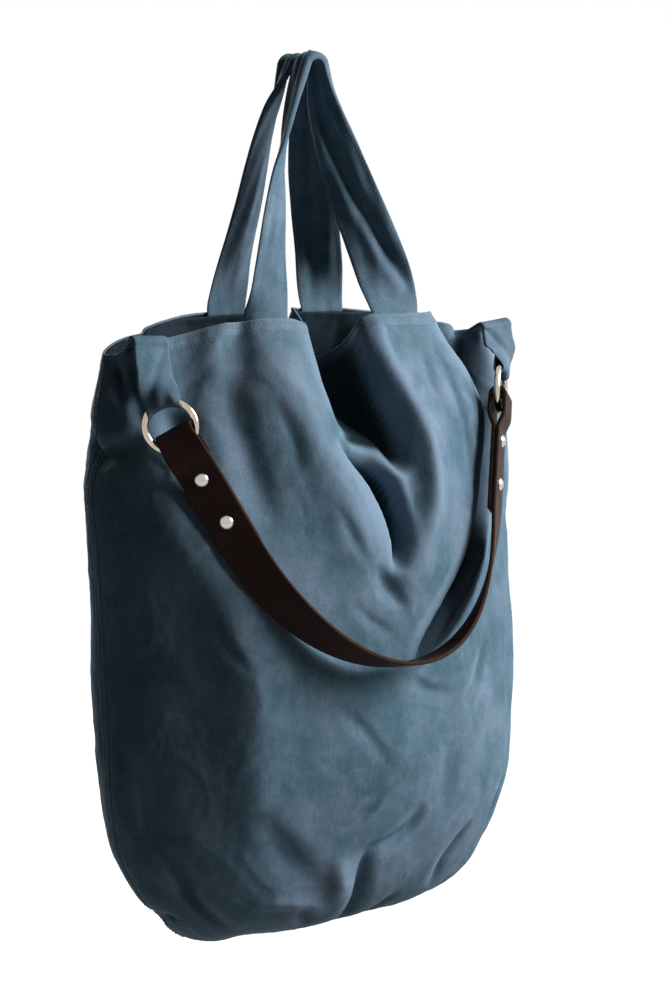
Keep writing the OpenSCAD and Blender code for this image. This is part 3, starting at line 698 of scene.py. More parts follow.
def cloth(name, dark, middle, light, roughness=0.62):
    """Waxed canvas: cloudy colour, pale streaks where it creased and wore, and painted shade, darker deep in
    the folds and on the inner face, where the attribute is below 0.
    """
    material, tree, principled = shader(name, Roughness=roughness, Specular_IOR_Level=0.025)
    here = place(tree)
    clouds = fuzz(tree, here, 55, 5, 0.65)
    both = maths(tree, "ADD", maths(tree, "MULTIPLY", fuzz(tree, here, 14, 4, 0.6), 0.62),
                 maths(tree, "MULTIPLY", clouds, 0.38))
    color = ramp(tree, both, (0.38, dark), (0.5, middle), (0.62, light))
    drawn = node(tree, "ShaderNodeMapping", {"Vector": here, "Rotation": (0, 0.5, 0), "Scale": (1, 1, 0.28)})
    streaks = ramp(tree, fuzz(tree, drawn.outputs["Vector"], 150, 5, 0.75), (0.52, BLACK), (0.75, WHITE))
    specks = ramp(tree, fuzz(tree, here, 900, 2, 0.5), (0.35, tint(WHITE, 0.86)), (0.65, tint(WHITE, 1.1)))
    color = blended(tree, 1.0, color, specks, "MULTIPLY")
    wear_and_shade_fac = node(tree, "ShaderNodeAttribute", attribute_name="wear_and_shade").outputs["Fac"]
    rubbed = maths(tree, "ADD", maths(tree, "MAXIMUM", wear_and_shade_fac, 0.0), maths(tree, "MULTIPLY", streaks, 0.5))
    color = blended(tree, maths(tree, "MULTIPLY", rubbed, 0.5), color, (*tint(light, WORN_TINT), 1))
    # painted shade: darker deep in the folds and on the inner face, where the attribute is below 0
    painted_fold_shade = maths(tree, "MULTIPLY", maths(tree, "MINIMUM", wear_and_shade_fac, 0.0), FOLD_SHADE_SHARE)
    color = blended(tree, painted_fold_shade, color, (*tint(dark, FOLD_SHADE_TINT), 1))
    tree.links.new(color, principled.inputs["Base Color"])
    tree.links.new(scaled(tree, clouds, 0.22, roughness - 0.11), principled.inputs["Roughness"])
    bump(tree, principled, (weave(tree), 0.0003, 0.2), (fuzz(tree, here, 260, 4, 0.6), 0.0006, 0.35),
         (fuzz(tree, here, 60, 3, 0.5), 0.002, 0.25))
    return material


RAW_FROM, RAW_FULL = 0.0139, 0.0147


def leather(name):
    """Dark grained leather, with a raw lighter edge that starts this far from the strap's middle."""
    material, tree, principled = shader(name, Specular_IOR_Level=0.05)
    here, cut = place(tree), place(tree, "UV")
    grain = node(tree, "ShaderNodeTexVoronoi", {"Vector": here, "Scale": 900.0}, feature="DISTANCE_TO_EDGE")
    pores = ramp(tree, grain.outputs["Distance"], (0.0, BLACK), (0.25, WHITE))
    color = ramp(tree, fuzz(tree, here, 40, 5, 0.6), (0.3, (0.014, 0.0068, 0.0062)),
                 (0.7, (0.027, 0.0125, 0.0112)))
    from_middle = maths(tree, "ABSOLUTE", node(tree, "ShaderNodeSeparateXYZ", {0: cut}).outputs["X"], 0.0)
    raw = ramp(tree, from_middle, (RAW_FROM, BLACK), (RAW_FULL, WHITE))
    edge = ramp(tree, fuzz(tree, here, 700, 3, 0.7), (0.3, (0.022, 0.013, 0.009)),
                (0.7, (0.05, 0.028, 0.018)))
    tree.links.new(blended(tree, raw, color, edge), principled.inputs["Base Color"])
    shine = scaled(tree, fuzz(tree, here, 90, 4, 0.6), 0.25, 0.36)
    rough = maths(tree, "ADD", shine, maths(tree, "MULTIPLY", raw, 0.3))
    tree.links.new(rough, principled.inputs["Roughness"])
    bump(tree, principled, (pores, 0.0002, 0.35), (fuzz(tree, here, 120, 4, 0.6), 0.0006, 0.3))
    return material


def metal(name, color, roughness):
    """Plated metal with faint clouds and scuffs."""
    material, tree, principled = shader(name, Metallic=1.0)
    here = place(tree)
    clouds = ramp(tree, fuzz(tree, here, 180, 3), (0.35, tint(color, 0.86)), (0.65, color))
    tree.links.new(clouds, principled.inputs["Base Color"])
    scuffs = fuzz(tree, here, 600, 4, 0.7)
    tree.links.new(scaled(tree, scuffs, 0.14, roughness - 0.07), principled.inputs["Roughness"])
    bump(tree, principled, (scuffs, 0.0001, 0.2))
    return material


def sewing_thread(name):
    material, tree, principled = shader(name, Roughness=0.55, Specular_IOR_Level=0.3)
    here = place(tree)
    color = ramp(tree, fuzz(tree, here, 300), (0.3, (0.08, 0.12, 0.16)), (0.7, (0.15, 0.20, 0.26)))
    tree.links.new(color, principled.inputs["Base Color"])
    bump(tree, principled, (fuzz(tree, here, 1500, 2), 0.0001, 0.4))
    return material


CLOTH_COLORS = (0.058, 0.112, 0.146), (0.088, 0.147, 0.196), (0.128, 0.178, 0.240)
waxed = cloth("waxed_cloth", *CLOTH_COLORS)
# The pieces inside the bag are the same cloth with its colours at a fifth, as painted shade for the dark
# inside of the bag
lining = cloth("inside_cloth_painted_shade", *[tint(color, 0.2) for color in CLOTH_COLORS], 0.75)
thread = sewing_thread("thread")
brown = leather("brown_leather")
nickel = metal("pale_nickel", (0.54, 0.46, 0.37), 0.15)
rivet_metal = metal("rivet_nickel", (0.50, 0.49, 0.47), 0.25)


def belongs(piece, body, slot, *nodes):
    """Rides on a body, or, given more than one, is only baked in place, and stands for CAD nodes, which it
    hides.
    """
    if isinstance(body, str):
        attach(piece, body)
    else:
        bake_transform(piece)
    if nodes:
        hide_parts(*nodes)
    return piece


# Body of the bag
INNER_STEP = 2
RIM_TURNS = 36, 72, 108, 144, 180
# Fold depths in millimetres at which the painted shade in the folds starts, and over which it grows to full
FOLD_SHADE_FROM, FOLD_SHADE_OVER = 6, 11


def shell_wear_and_shade():
    """Above 0 where the outer face is folded outwards and at the rim, for wear, and below 0 deep in the
    folds, for painted shade.
    """
    around = sum(np.roll(outer, step, axis) for axis in (1, 0) for step in (4, -4))
    bend = outer - 0.25 * around
    out = np.clip((bend * outer_n).sum(-1) / 1.2 - 0.25, 0, 1)
    out[:6], out[-8:] = 0, 0.5
    return out - ease((fold_depth - FOLD_SHADE_FROM) / FOLD_SHADE_OVER)


def build_body():
    """The cloth of the bag: its outer face, its rounded rim and its inner face, closed at the bottom seam."""
    up_dir = unit(outer[-1] - outer[-3])
    side_n = unit(outer_n[-1] - (outer_n[-1] * up_dir).sum(-1, keepdims=True) * up_dir)
    half = CLOTH_T / 2 + 0.35
    rim = [outer[-1] - side_n * half * (1 - math.cos(a)) + up_dir * half * math.sin(a)
           for a in np.radians(RIM_TURNS)]
    rows_in = np.arange(ROWS - 2, 0, -INNER_STEP)
    inner = outer[rows_in] - outer_n[rows_in] * CLOTH_T
    grid = np.concatenate([outer, np.stack(rim), inner])
    over = len(RIM_TURNS)
    arc = np.concatenate([arc_v, arc_v[-1] + 0.7 * np.arange(1, over + 1),
                          arc_v[-1] + 4 + arc_v[-1] - arc_v[rows_in]])
    uv = side_by_side(arc_u[None, :], arc[:, None])
    rows = len(grid)
    ids = np.arange(rows * COLUMNS).reshape(rows, COLUMNS)
    # the first and the last row close on the bottom seam, where the front half meets the back half
    mirror = (COLUMNS // 2 - np.arange(COLUMNS)) % COLUMNS
    low = np.minimum(np.arange(COLUMNS), mirror)
    ids[0], ids[-1] = ids[0][low], ids[-1][low]
    turned = np.roll(ids, -1, 1)
    faces = np.stack([ids[:-1], turned[:-1], turned[1:], ids[1:]], -1).reshape(-1, 4)
    good = np.array([q for q in faces.tolist() if len(set(q)) == 4])
    # the inner face gets full painted shade, and the rounded rim counts as half worn
    wear_and_shade = np.full((rows, COLUMNS), -1.0)
    wear_and_shade[:ROWS] = shell_wear_and_shade()
    wear_and_shade[ROWS:ROWS + over] = 0.5
    used = np.unique(good)
    back = np.full(rows * COLUMNS, -1)
    back[used] = np.arange(len(used))
    piece = add("bag_shell", grid.reshape(-1, 3)[used], back[good], waxed,
                uv.reshape(-1, 2)[used], wear_and_shade.reshape(-1)[used])
    return belongs(piece, "bag", "cloth", "front_panel", "back_panel")


def lining_piece(name, u, outside, inside, height, nodes):
    uv = side_by_side(u * AROUND / 360, height)
    return belongs(shell(name, outside, inside, uv, lining), "bag", "lining", *nodes)


def build_facing(name, first_u, gap, node_name):
    """The band inside the rim that covers the ends of the handles."""
    u = np.linspace(first_u + 0.3, first_u + 179.7, 180)
    down = np.array([0.6, 2, 4, 7, 11, 16, 22, 28, 33, 36, FACING_H])
    v = v_at(u[None, :], rim_at(u)[None, :] - down[:, None])
    x = np.abs(skin(u, 1)[:, 0])
    at_handle = np.exp(-(np.abs(x - gap / 2) / 29) ** 6)
    stand = lerp(UNDER_PANEL + 0.2, UNDER_ENDS, np.maximum(at_handle[None, :], ease(down / 12)[:, None]))
    stand = stand + 0.4 * np.sin(u / 3.1)[None, :] * ease(down / 30)[:, None]
    outside, inside = on_cloth(u[None, :], v, -stand - BINDING_T), on_cloth(u[None, :], v, -stand)
    return lining_piece(name, u[None, :], outside, inside, down[:, None], [node_name])


def build_binding(name, u, v, node_name, under=UNDER_PANEL):
    """A tape over an inside seam, on a grid of angles and shares."""
    u, v = np.broadcast_arrays(u, v)
    crown = 0.5 * np.cos(np.linspace(-math.pi / 2, math.pi / 2, v.shape[1]))[None, :]
    outside = on_cloth(u, v, -under - BINDING_T - crown)
    return lining_piece(name, u, outside, on_cloth(u, v, -under), v * BAG_H, [node_name])


# How far each side of its seam a corner's binding reaches, in degrees
CORNER_REACH = 25.7


def build_bindings():
    reach = math.degrees(math.asin(BINDING_W / BAG_D))
    for side, middle in SEAMS:
        v = np.linspace(0.24, 0.985, 150)[:, None]
        u = middle + np.linspace(-reach, reach, 7)[None, :]
        build_binding(side + "_side_tape", u, v, side + "_side_binding")
        half_v = 0.2 * BINDING_W / ROUND_H * TURN_SHARE
        u = middle + np.linspace(-CORNER_REACH, CORNER_REACH, 60)[:, None]
        v = CORNER_V + np.linspace(half_v, -half_v, 5)[None, :]
        build_binding(side + "_corner_tape", u, v, side + "_corner_binding", UNDER_PANEL + LAYER_GAP)
    # the bottom seam's tape is a ribbon that runs along the seam with a soft ripple
    x = np.linspace(-1, 1, 60) * SEAM_LEN * 0.84 / 2
    z = TURN_Z - ROUND_H + UNDER_PANEL + 0.9 + 0.3 * np.sin(x / 14)
    tape = band("bottom_tape", np.stack([x + LEAN, 0.4 * np.sin(x / 9), z], -1), (0, 1, 0), BINDING_W / 2,
                BINDING_T / 2, lining, relief=lambda t, a: -0.4 * a**2)
    belongs(tape, "bag", "lining", "bottom_binding")


WELT_W, WELT_T, WELT_LIFT, WELT_ROW_AT = 9, 0.7, 0.05, 0.62
CORNER_WELT_REACH, CORNER_WELT_V = 24, 0.010


def welt(name, u, v, rise, under):
    u, v, rise = np.broadcast_arrays(u, v, rise)
    uv = side_by_side(u * AROUND / 360, v * BAG_H)
    return belongs(shell(name, on_cloth(u, v, rise), on_cloth(u, v, under), uv, waxed), "bag", "cloth")


def sewn(name, rows):
    belongs(tubes(name, np.concatenate(rows), THREAD_R, thread), "bag", "cloth")


def row_on_cloth(u, v, off, stand):
    return stitches(on_cloth(u, v, off), unit(sample(outer_n, u, v)), stand)


def build_seams():
    """Felled side seams with their stitches, the rows of stitches of the hem, and the lower seams."""
    spread = math.degrees(math.asin(WELT_W / BAG_D))
    v, a = np.linspace(0.085, 0.992, 240), np.linspace(-1, 1, 9)[None, :]
    rise = WELT_T * (1 - np.abs(a) ** 6) + 0.16 * np.sin(v * 520)[:, None] * (1 - a**2) + WELT_LIFT
    rows = []
    for side, middle in SEAMS:
        welt(side + "_seam_welt", middle + a * spread, v[:, None], rise, -0.5)
        for at in (-WELT_ROW_AT, WELT_ROW_AT):
            rows.append(row_on_cloth(middle + at * spread, v, WELT_T + WELT_LIFT, 0.18))
    sewn("seam_stitches", rows)
    u = np.linspace(-89, 269, 900)
    sewn("hem_stitches", [row_on_cloth(u, v_at(u, rim_at(u) - down), 0.0, 0.1) for down in HEM_STITCHES])
    # boxed corners below, seen as a short welt across the end of the side seam
    turn, a = np.linspace(-CORNER_WELT_REACH, CORNER_WELT_REACH, 50)[:, None], np.linspace(-1, 1, 7)[None, :]
    rise = (0.1 + 0.8 * (1 - np.abs(a) ** 4)) * ease((CORNER_WELT_REACH - np.abs(turn)) / 10)
    for side, middle in SEAMS:
        welt(side + "_corner_welt", middle + turn, CORNER_V - CORNER_WELT_V * a, rise, -0.6)
    # the bottom seam, pressed to one side
    x = np.linspace(-1, 1, 80) * SEAM_LEN * 0.47
    low = np.stack([x + LEAN, 0.5 * np.sin(x / 11), TURN_Z - ROUND_H - 0.2 + 0.15 * np.sin(x / 7)], -1)
    ridge = band("bottom_seam_welt", low, (0, 1, 0), 3.4, 0.7, waxed, relief=lambda t, a: 0.25 * (1 - a**2))
    belongs(ridge, "bag", "cloth")


# Handles
HANDLE_FOLD_Z = RIM_Z + FOLD_UP
HOOK_MID_R = HOOK_R + HANDLE_TOP_T / 2
LEG_LEAD = 24
LEG_FOOT_Z = HANDLE_FOLD_Z + LEG_LEAD / 2
LEG_START = HANDLE_FOLD_Z - FOLD_UP + 0.7
END_ROWS, LEG_ROWS, BEND_ROWS = 14, 110, 18
# Each leg at these shares of its height: distance from the middle, width and turn about the leg
LEG_AT = (0, 0.2, 0.4, 0.55, 0.68, 0.8, 0.9, 1)
LEGS = {
    (FRONT, LEFT): ((61, 55.5, 46, 38, 29, 21, 14.5, 8), (36, 31, 27, 24, 22, 21, 20, 19),
                    (0, 14, 26, 39, 60, 75, 84, 90)),
    (FRONT, RIGHT): ((53.5, 41.5, 30, 22.5, 16.5, 11.5, 9, 8), (46, 41.5, 38.5, 35.5, 32, 27, 22, 19),
                     (0, 25, 38, 45, 50, 58, 70, 90)),
    (BACK, LEFT): ((40, 33.5, 28, 25.5, 23, 19, 14, 8), (36, 26, 22, 20, 19, 19, 19, 19),
                   (0, -8, -8, 0, 14, 36, 62, 90)),
    (BACK, RIGHT): ((48, 43, 33, 23.5, 17.5, 13, 10.5, 8), (38, 37, 38, 36, 33, 27, 21, 19),
                    (0, 38, 50, 57, 64, 72, 82, 90)),
}
# The cloth is gathered on the hook, narrower and thicker than it lies flat
GATHER_W, GATHER_T, GATHER_Y = 19, 5.2, 10.5
BEND_R = 8.5
BEND_Z = HOOK_MID_R - HOOK_R - BEND_R


def tangent_angle(gap):
    reach = math.hypot(gap / 2, LEG_FOOT_Z + HOOK_R)
    lean_in = math.degrees(math.asin(HOOK_MID_R / reach))
    return 90 - math.degrees(math.atan2(gap / 2, -(LEG_FOOT_Z + HOOK_R))) - lean_in


def base_y(gap):
    return (MOUTH_D / 2 - UNDER_PANEL - HANDLE_T / 2) * math.cos(math.asin(gap / MOUTH_W))


def leg(side, face, gap):
    """Middles, width directions, half widths and half thicknesses of a leg, from its cut end inside
    the rim up to the bend."""
    at = through(np.stack([LEG_AT, *LEGS[face, side]], -1), 12)
    a = tangent_angle(gap)
    end_x, end_z = BEND_R * sind(a), BEND_Z + BEND_R * cosd(a)
    z = np.concatenate([np.linspace(RIM_Z - HANDLE_END, LEG_START, END_ROWS, endpoint=False),
                        np.linspace(LEG_START, end_z, LEG_ROWS)])
    rise = end_z - HANDLE_FOLD_Z
    up = np.clip((z - HANDLE_FOLD_Z) / rise, 0, 1)
    x, full_w, turn = (np.interp(up, at[:, 0], at[:, k]) for k in (1, 2, 3))
    x += (end_x - LEGS[face, side][0][-1]) * up**6
    middle = np.stack([side * x, face * lerp(base_y(gap), GATHER_Y, ease(up)), z], -1)
    width = np.stack([side * cosd(turn), -sind(turn), 0 * turn], -1)
    half_w = full_w / 2
    half_t = lerp(HANDLE_T, GATHER_T, ease((up - 0.4) / 0.6)) / 2
    return middle, width, half_w, half_t


def handle_path(face, gap):
    a = np.linspace(-tangent_angle(gap), tangent_angle(gap), BEND_ROWS + 2)[1:-1]
    bend = [side_by_side(BEND_R * sind(a), face * GATHER_Y, BEND_Z + BEND_R * cosd(a)),
            np.tile([0.0, -1, 0], (BEND_ROWS, 1)), np.full(BEND_ROWS, GATHER_W / 2),
            np.full(BEND_ROWS, GATHER_T / 2)]
    left, right = leg(LEFT, face, gap), leg(RIGHT, face, gap)
    return [np.concatenate([left[k], bend[k], right[k][::-1]]) for k in range(4)]


def height_share(t):
    """Share of the handle's height, 0 at the rim and 1 at the hook, and the side, from the row's share."""
    total = 2 * (END_ROWS + LEG_ROWS) + BEND_ROWS
    row = t * (total - 1)
    from_left = (row - END_ROWS) / LEG_ROWS
    from_right = (total - 1 - row - END_ROWS) / LEG_ROWS
    return np.minimum(from_left, from_right), np.where(from_left < from_right, LEFT, RIGHT)


def front_legs(h, a):
    """One deep crease that runs slowly to the outer edge of the right leg, and a soft one beside it."""
    crease_at = np.interp(h, [0, 0.2, 0.5, 0.8, 1], [0.9, 0.45, 0.0, -0.3, -0.35])
    right = -4.0 * gauss(a, crease_at, 0.2) + 2.0 * gauss(a, crease_at - 0.45, 0.25)
    right = right + 1.2 * gauss(a, crease_at + 0.5, 0.3)
    return gauss(a, -0.25, 0.5) - 0.8 * gauss(a, 0.4, 0.25) * ease(h / 0.5), right


def back_legs(h, a):
    """The left leg is folded along its middle, like a roof."""
    crease_at = np.interp(h, [0, 0.5, 1], [-0.5, -0.1, 0.2])
    return (3.0 - 5.5 * np.sqrt((a + 0.1) ** 2 + 0.01),
            -3.0 * gauss(a, crease_at, 0.22) + 1.6 * gauss(a, 0.5, 0.3))


def handle_relief(legs, pleat_phase, ripples_across, ripples_along):
    """The legs' own folds, which turn into pleats towards the hook."""
    def relief(t, a):
        h, side = height_share(t)
        left, right = legs(h, a)
        free, top = ease(h / 0.25), ease((h - 0.8) / 0.18)
        shape = np.where(side == RIGHT, right, left) * free * (1 - 0.7 * top)
        pleats = 0.9 * np.sin(a * 6.5 + pleat_phase) * top
        return shape + pleats + 0.3 * np.sin(ripples_across * a + ripples_along * t) * free
    return relief


def follow_cloth(face):
    """Moves the foot of a handle with the cloth that it is sewn to, less and less above the rim."""
    depth = UNDER_PANEL + HANDLE_T / 2

    def turned(x, z):
        u = np.degrees(np.arcsin(np.clip(x / (MOUTH_W / 2 - depth), -0.97, 0.97)))
        u = u if face == FRONT else 180 - u
        return u, np.minimum(v_at(u, z), 1)

    def move(p):
        x, z = p[..., 0], p[..., 2]
        u, v = turned(x, z)
        mid = np.where(x < 0, -LEGS[face, LEFT][0][0], LEGS[face, RIGHT][0][0]).astype(float)
        mid_y = skin(*turned(mid, RIM_Z), -depth)[..., 1]
        still = skin(u, v, -depth)
        shift = on_cloth(u, v, -depth) - still
        shift[..., 1] += still[..., 1] - mid_y
        return p + shift * (1 - ease((z - RIM_Z) / 26))[..., None]
    return move


def handle_bend(label, face, gap):
    """The two bodies either side of a handle's foot, and two points below and above the rim; with them,
    belongs only bakes the piece in place.
    """
    y = face * base_y(gap)
    return "bag", label + "_handle", (0, y, RIM_Z - 5), (0, y, RIM_Z + 18)


def build_handle(label, face, gap, relief):
    path = handle_path(face, gap)
    piece = band(label + "_carry_handle", *path, waxed, 31, relief, move=follow_cloth(face))
    belongs(piece, handle_bend(label, face, gap), "cloth", label + "_handle", label + "_handle_ends")


def sew_handle(label, face, gap, relief):
    """Rows of stitches near both edges of a handle's legs, on both faces."""
    middle, width, half_w, half_t = handle_path(face, gap)
    w, out = strip_frame(middle, width)
    t = np.arange(len(middle))[:, None] / (len(middle) - 1)
    keep = np.where(height_share(t[:, 0])[0] > 0.03)[0]
    body_t = half_t * (1 - STITCH_AT**EDGE_POWER) ** 0.5
    paths = []
    for a in (-STITCH_AT, STITCH_AT):
        lift = relief(t, np.array([[a]]))[:, 0]
        for sign in (-1, 1):
            line = middle + w * (a * half_w)[:, None] + out * (lift + sign * body_t)[:, None]
            paths.append(stitches(follow_cloth(face)(line)[keep], sign * out[keep], 0.0))
    threads = tubes(label + "_handle_stitches", np.concatenate(paths), THREAD_R * 0.8, thread)
    belongs(threads, handle_bend(label, face, gap), "cloth")


# Rings and the leather strap
RING_R = (RING_ID + WIRE_D) / 2
HALF_T = LEATHER_T / 2
LAYER_OFF = HALF_T + SEAT_GAP / 2
LOOP_R = LOOP_ROOM + HALF_T
LOOP_MID = 1.5 + HALF_T + LOOP_R
LOOP_STRAIGHT = RING_R + 4
CLOSED_AT = RIVET_FIRST - FOOT_D / 2 - 1.5
TAIL_AT = 1.5 + TAIL_LEN
BOW_SKEW, BOW_TILT, BOW_FRONT = 0.12, 1.2, 116


def standing(side, u, drop, stand):
    out = arr(side * sind(RING_TURN[side]), -cosd(RING_TURN[side]), 0)
    return skin(side * u, v_at(side * u, RIM_Z - drop)) + stand * out


def ring_mid(side):
    return standing(side, RING_U, LEFT_RING_DROP if side == LEFT else RIGHT_RING_DROP, RING_STAND)


def end_dir(side):
    return unit(standing(side, TAIL_U[side], TAIL_DROP, TAIL_STAND) - ring_mid(side))


def end_side(side):
    return across(arr(-side * cosd(RING_TURN[side]), -sind(RING_TURN[side]), 0.6), end_dir(side))


def ring_axis(side):
    return np.cross(end_side(side), end_dir(side)) * side


def tab_dir(side):
    up = across(arr(0, 0, 1), ring_axis(side))
    aside = np.cross(ring_axis(side), up)
    return unit(up * cosd(TAB_LEAN) + aside * sind(TAB_LEAN) * -side)


def end_point(side, s, off):
    s, off = floats(s, off)
    return ring_mid(side) + s[..., None] * end_dir(side) + off[..., None] * ring_axis(side)


def spread(s):
    return lerp(LOOP_R, LAYER_OFF, ease((s - LOOP_STRAIGHT) / (CLOSED_AT - LOOP_STRAIGHT)))


def end_half(s):
    return lerp(STRAP_FOLD_W, STRAP_W, ease((s - 6) / 14)) / 2


def strap_end(side):
    """Middles, width directions and half widths from the tail's cut end round the ring and back."""
    s = np.arange(TAIL_AT, LOOP_MID, -1.5)
    a = np.linspace(0, 180, 20)
    tail = end_point(side, s, -spread(s))
    fold = end_point(side, LOOP_MID - LOOP_R * sind(a), -LOOP_R * cosd(a))
    main = end_point(side, s[::-1], spread(s[::-1]))
    middle = np.concatenate([tail, fold, main])
    half = np.concatenate([end_half(s), np.full(20, STRAP_FOLD_W / 2), end_half(s[::-1])])
    return middle, np.tile(end_side(side), (len(middle), 1)), half


def strap_path():
    """The strap from one tail to the other, with the width's sense kept all along."""
    foot = [end_point(side, TAIL_AT, LAYER_OFF) for side in (LEFT, RIGHT)]
    pull = [point + STRAP_REACH * (1 + side * BOW_SKEW) * end_dir(side)
            for side, point in zip((LEFT, RIGHT), foot)]
    t = np.linspace(0, 1, 142)[1:-1, None]
    push = BOW_FRONT + cubic(foot[0], pull[0], pull[1], foot[1], 0.5)[1]
    bow = cubic(foot[0], pull[0], pull[1], foot[1], t) - push * (4 * t * (1 - t)) ** 1.5 * arr(0, 1, 0)
    width = unit(curve3(end_side(LEFT), arr(0, -BOW_TILT, 0), end_side(RIGHT), t))
    bare = bow, width, np.full(len(bow), STRAP_W / 2)
    return [np.concatenate([l, b, r[::-1]]) for l, b, r in zip(strap_end(LEFT), bare, strap_end(RIGHT))]


def build_strap():
    piece = band("leather_strap_body", *strap_path(), HALF_T - 0.02, brown, 27, edge_power=CUT_EDGE_POWER)
    return belongs(piece, "strap", "leather", "leather_strap")


# Tabs
TAB_X = MOUTH_W / 2 - TAB_IN
TAB_TOP_Z = RIM_Z - TAB_FOLD_DROP
PLY_OFF = TAB_T / 2 + SEAT_GAP / 2
ROOT_T = 2 * TAB_T + SEAT_GAP


def tab_top(side):
    return arr(side * TAB_X, -TAB_FRONT, TAB_TOP_Z)


# Room round the wire, which is less than in the CAD part, width at the wire and radius over the rim
HOLD, HELD_W, CREST_R = WIRE_D / 2 + 0.7, 25, 3.8
OVER_ROWS, CREST_ROWS, LOOP_ROWS, WIRE_ROWS = 60, 24, 70, 18
# Where along its drop a tab starts to turn towards the ring's wire, how its crest lies and tilts, and
# how much nearer to the front the left tab's root is
TURN_FROM = 0.5
ROOT_FORWARD = {LEFT: 6, RIGHT: 0}
CREST_AT = {LEFT: (7, 0, -5), RIGHT: (3, -4, -4)}
CREST_TILT = {LEFT: -0.05, RIGHT: 0.12}


def even(line, count):
    """The line again, with its points at even distances."""
    run = run_along(line)
    return at_runs(np.linspace(0, run[-1], count), run, line)


def tab_spine(side):
    """Middle line and widths of a tab: up inside the rim, over it in a round crest, down to the wire."""
    depth = UNDER_FACING + ROOT_T / 2 + ROOT_CLEAR
    root_x = TAB_X - ROOT_SHIFT - ROOT_FORWARD[side]
    u = side * math.degrees(math.asin(root_x / (MOUTH_W / 2 - depth)))
    tangent = unit(skin(u + 1, 1, -depth) - skin(u - 1, 1, -depth))
    rim_point = skin(u, 1, -depth)
    low_point = skin(u, v_at(u, rim_at(u) - TAB_END), -depth)
    top = tab_top(side) + arr(*CREST_AT[side])
    crest = top + arr(0, CREST_R, TAB_START)
    y, z = rim_point[1] - crest[1], rim_point[2] - crest[2]
    first = math.degrees(math.atan2(z, y) + math.acos(CREST_R / math.hypot(y, z)))
    a = np.linspace(first, 180, CREST_ROWS)
    arc = side_by_side(crest[0], crest[1] + CREST_R * cosd(a), crest[2] + CREST_R * sind(a))
    over = even(np.concatenate([[low_point, rim_point], arc]), OVER_ROWS)
    for _ in range(14):
        over[1:-1] = over[1:-1] / 2 + (over[2:] + over[:-2]) / 4
    wire, up = ring_mid(side) + RING_R * tab_dir(side), tab_dir(side)
    low_side = unit(np.cross(ring_axis(side), up))
    k = np.linspace(0, 1, LOOP_ROWS + 1)[1:, None]
    down = cubic(top + arr(0, 0, TAB_START), top - arr(0, 0, TAB_DROP), wire + TAB_LEAD * up, wire, k)
    middle = np.concatenate([over, down])
    # the strip turns square to its way over the rim before it bends
    square = unit(arr(top[1] - rim_point[1], rim_point[0] - top[0], 0) * -1)
    t = np.linspace(0, 1, OVER_ROWS)[:, None]
    across_x = arr(1, 0, CREST_TILT[side])
    over_width = lerp(lerp(tangent, square, ease(t / 0.4)), across_x, ease((t - 0.5) / 0.4))
    down_width = lerp(across_x, -low_side, ease((k - TURN_FROM) / (1 - TURN_FROM)))
    width = unit(np.concatenate([over_width, down_width]))
    share = np.concatenate([np.zeros(OVER_ROWS), k[:, 0]])
    return middle, width, share, wire, up


def tab_path(side):
    middle, width, share, wire, up = tab_spine(side)
    facing = strip_frame(middle, width)[1]
    apart = lerp(PLY_OFF, HOLD + TAB_T / 2, ease((share - 0.7) / 0.28))[:, None]
    half = lerp(TAB_W, HELD_W, ease((share - 0.75) / 0.25)) / 2
    a = np.linspace(0, 180, WIRE_ROWS)[1:-1, None]
    fold = wire - (HOLD + TAB_T / 2) * (cosd(a) * facing[-1] + sind(a) * up)
    path = np.concatenate([middle - apart * facing, fold, (middle + apart * facing)[::-1]])
    widths = np.concatenate([width, np.tile(width[-1], (len(a), 1)), width[::-1]])
    halves = np.concatenate([half, np.full(len(a), half[-1]), half[::-1]])
    shares = np.concatenate([share, np.ones(len(a)), share[::-1]])
    return path, widths, halves, shares, wire, up


# Two depths where the tab passes over the rim, and a height, given to belongs with the bag and the tab; the
# tab is only baked in place
BEND_FROM_Y, BEND_TO_Y, HINGE_Z = -28, -33, -200
TAB_STITCH_AT = 0.86


def build_tab(side, label):
    path, widths, halves, shares, wire, up = tab_path(side)
    rows = len(path)
    along_wire = unit(np.cross(ring_axis(side), up))

    def drape(p):
        """Lets the fold follow the round of the ring's wire."""
        aside = np.clip((p - wire) @ along_wire, -13, 13)
        near = ease((shares - 0.62) / 0.36).reshape([-1] + [1] * (p.ndim - 2))
        return p + ((np.sqrt(RING_R**2 - aside**2) - RING_R) * near)[..., None] * up

    def relief(k, a):
        low = np.interp(k, np.linspace(0, 1, rows), shares)
        outer_ply = ease((k - 0.5) * 40)
        gather = ease((low - 0.7) / 0.3)
        fan = 0.4 * np.sin(a * 7 + 2 * a**2 + 0.8 * side) * gather * lerp(0.3, 1, outer_ply)
        crease = 1.1 * gauss(a, lerp(0.9, -0.5, np.clip(low / 0.9, 0, 1)) * -side, 0.28)
        hollow = -1.0 * gauss(a, 0.1, 0.5) * ease(low / 0.3)
        return fan + (crease + hollow) * (1 - gather) * ease(low / 0.12) * lerp(0.4, 1, outer_ply)

    bend = ("bag", label + "_tab", (side * TAB_X, BEND_FROM_Y, HINGE_Z), (side * TAB_X, BEND_TO_Y, HINGE_Z))
    strip = band(label + "_tab_strip", path, widths, halves, TAB_T / 2, waxed, 25, relief, move=drape)
    belongs(strip, bend, "cloth", label + "_tab", label + "_tab_root")
    # stitches along both edges of the outer ply
    w, out = strip_frame(path, widths)
    k = np.arange(rows)[:, None] / (rows - 1)
    outer_rows = np.arange(rows - OVER_ROWS - LOOP_ROWS + 4, rows - OVER_ROWS + 8)
    paths = []
    for edge in (-TAB_STITCH_AT, TAB_STITCH_AT):
        lift = relief(k, np.array([[edge]]))[:, 0]
        line = drape(path + w * (edge * halves)[:, None] + out * (lift + TAB_T / 2)[:, None])
        paths.append(stitches(line[outer_rows], out[outer_rows], 0.05))
    belongs(tubes(label + "_tab_stitches", np.concatenate(paths), THREAD_R, thread), bend, "cloth")


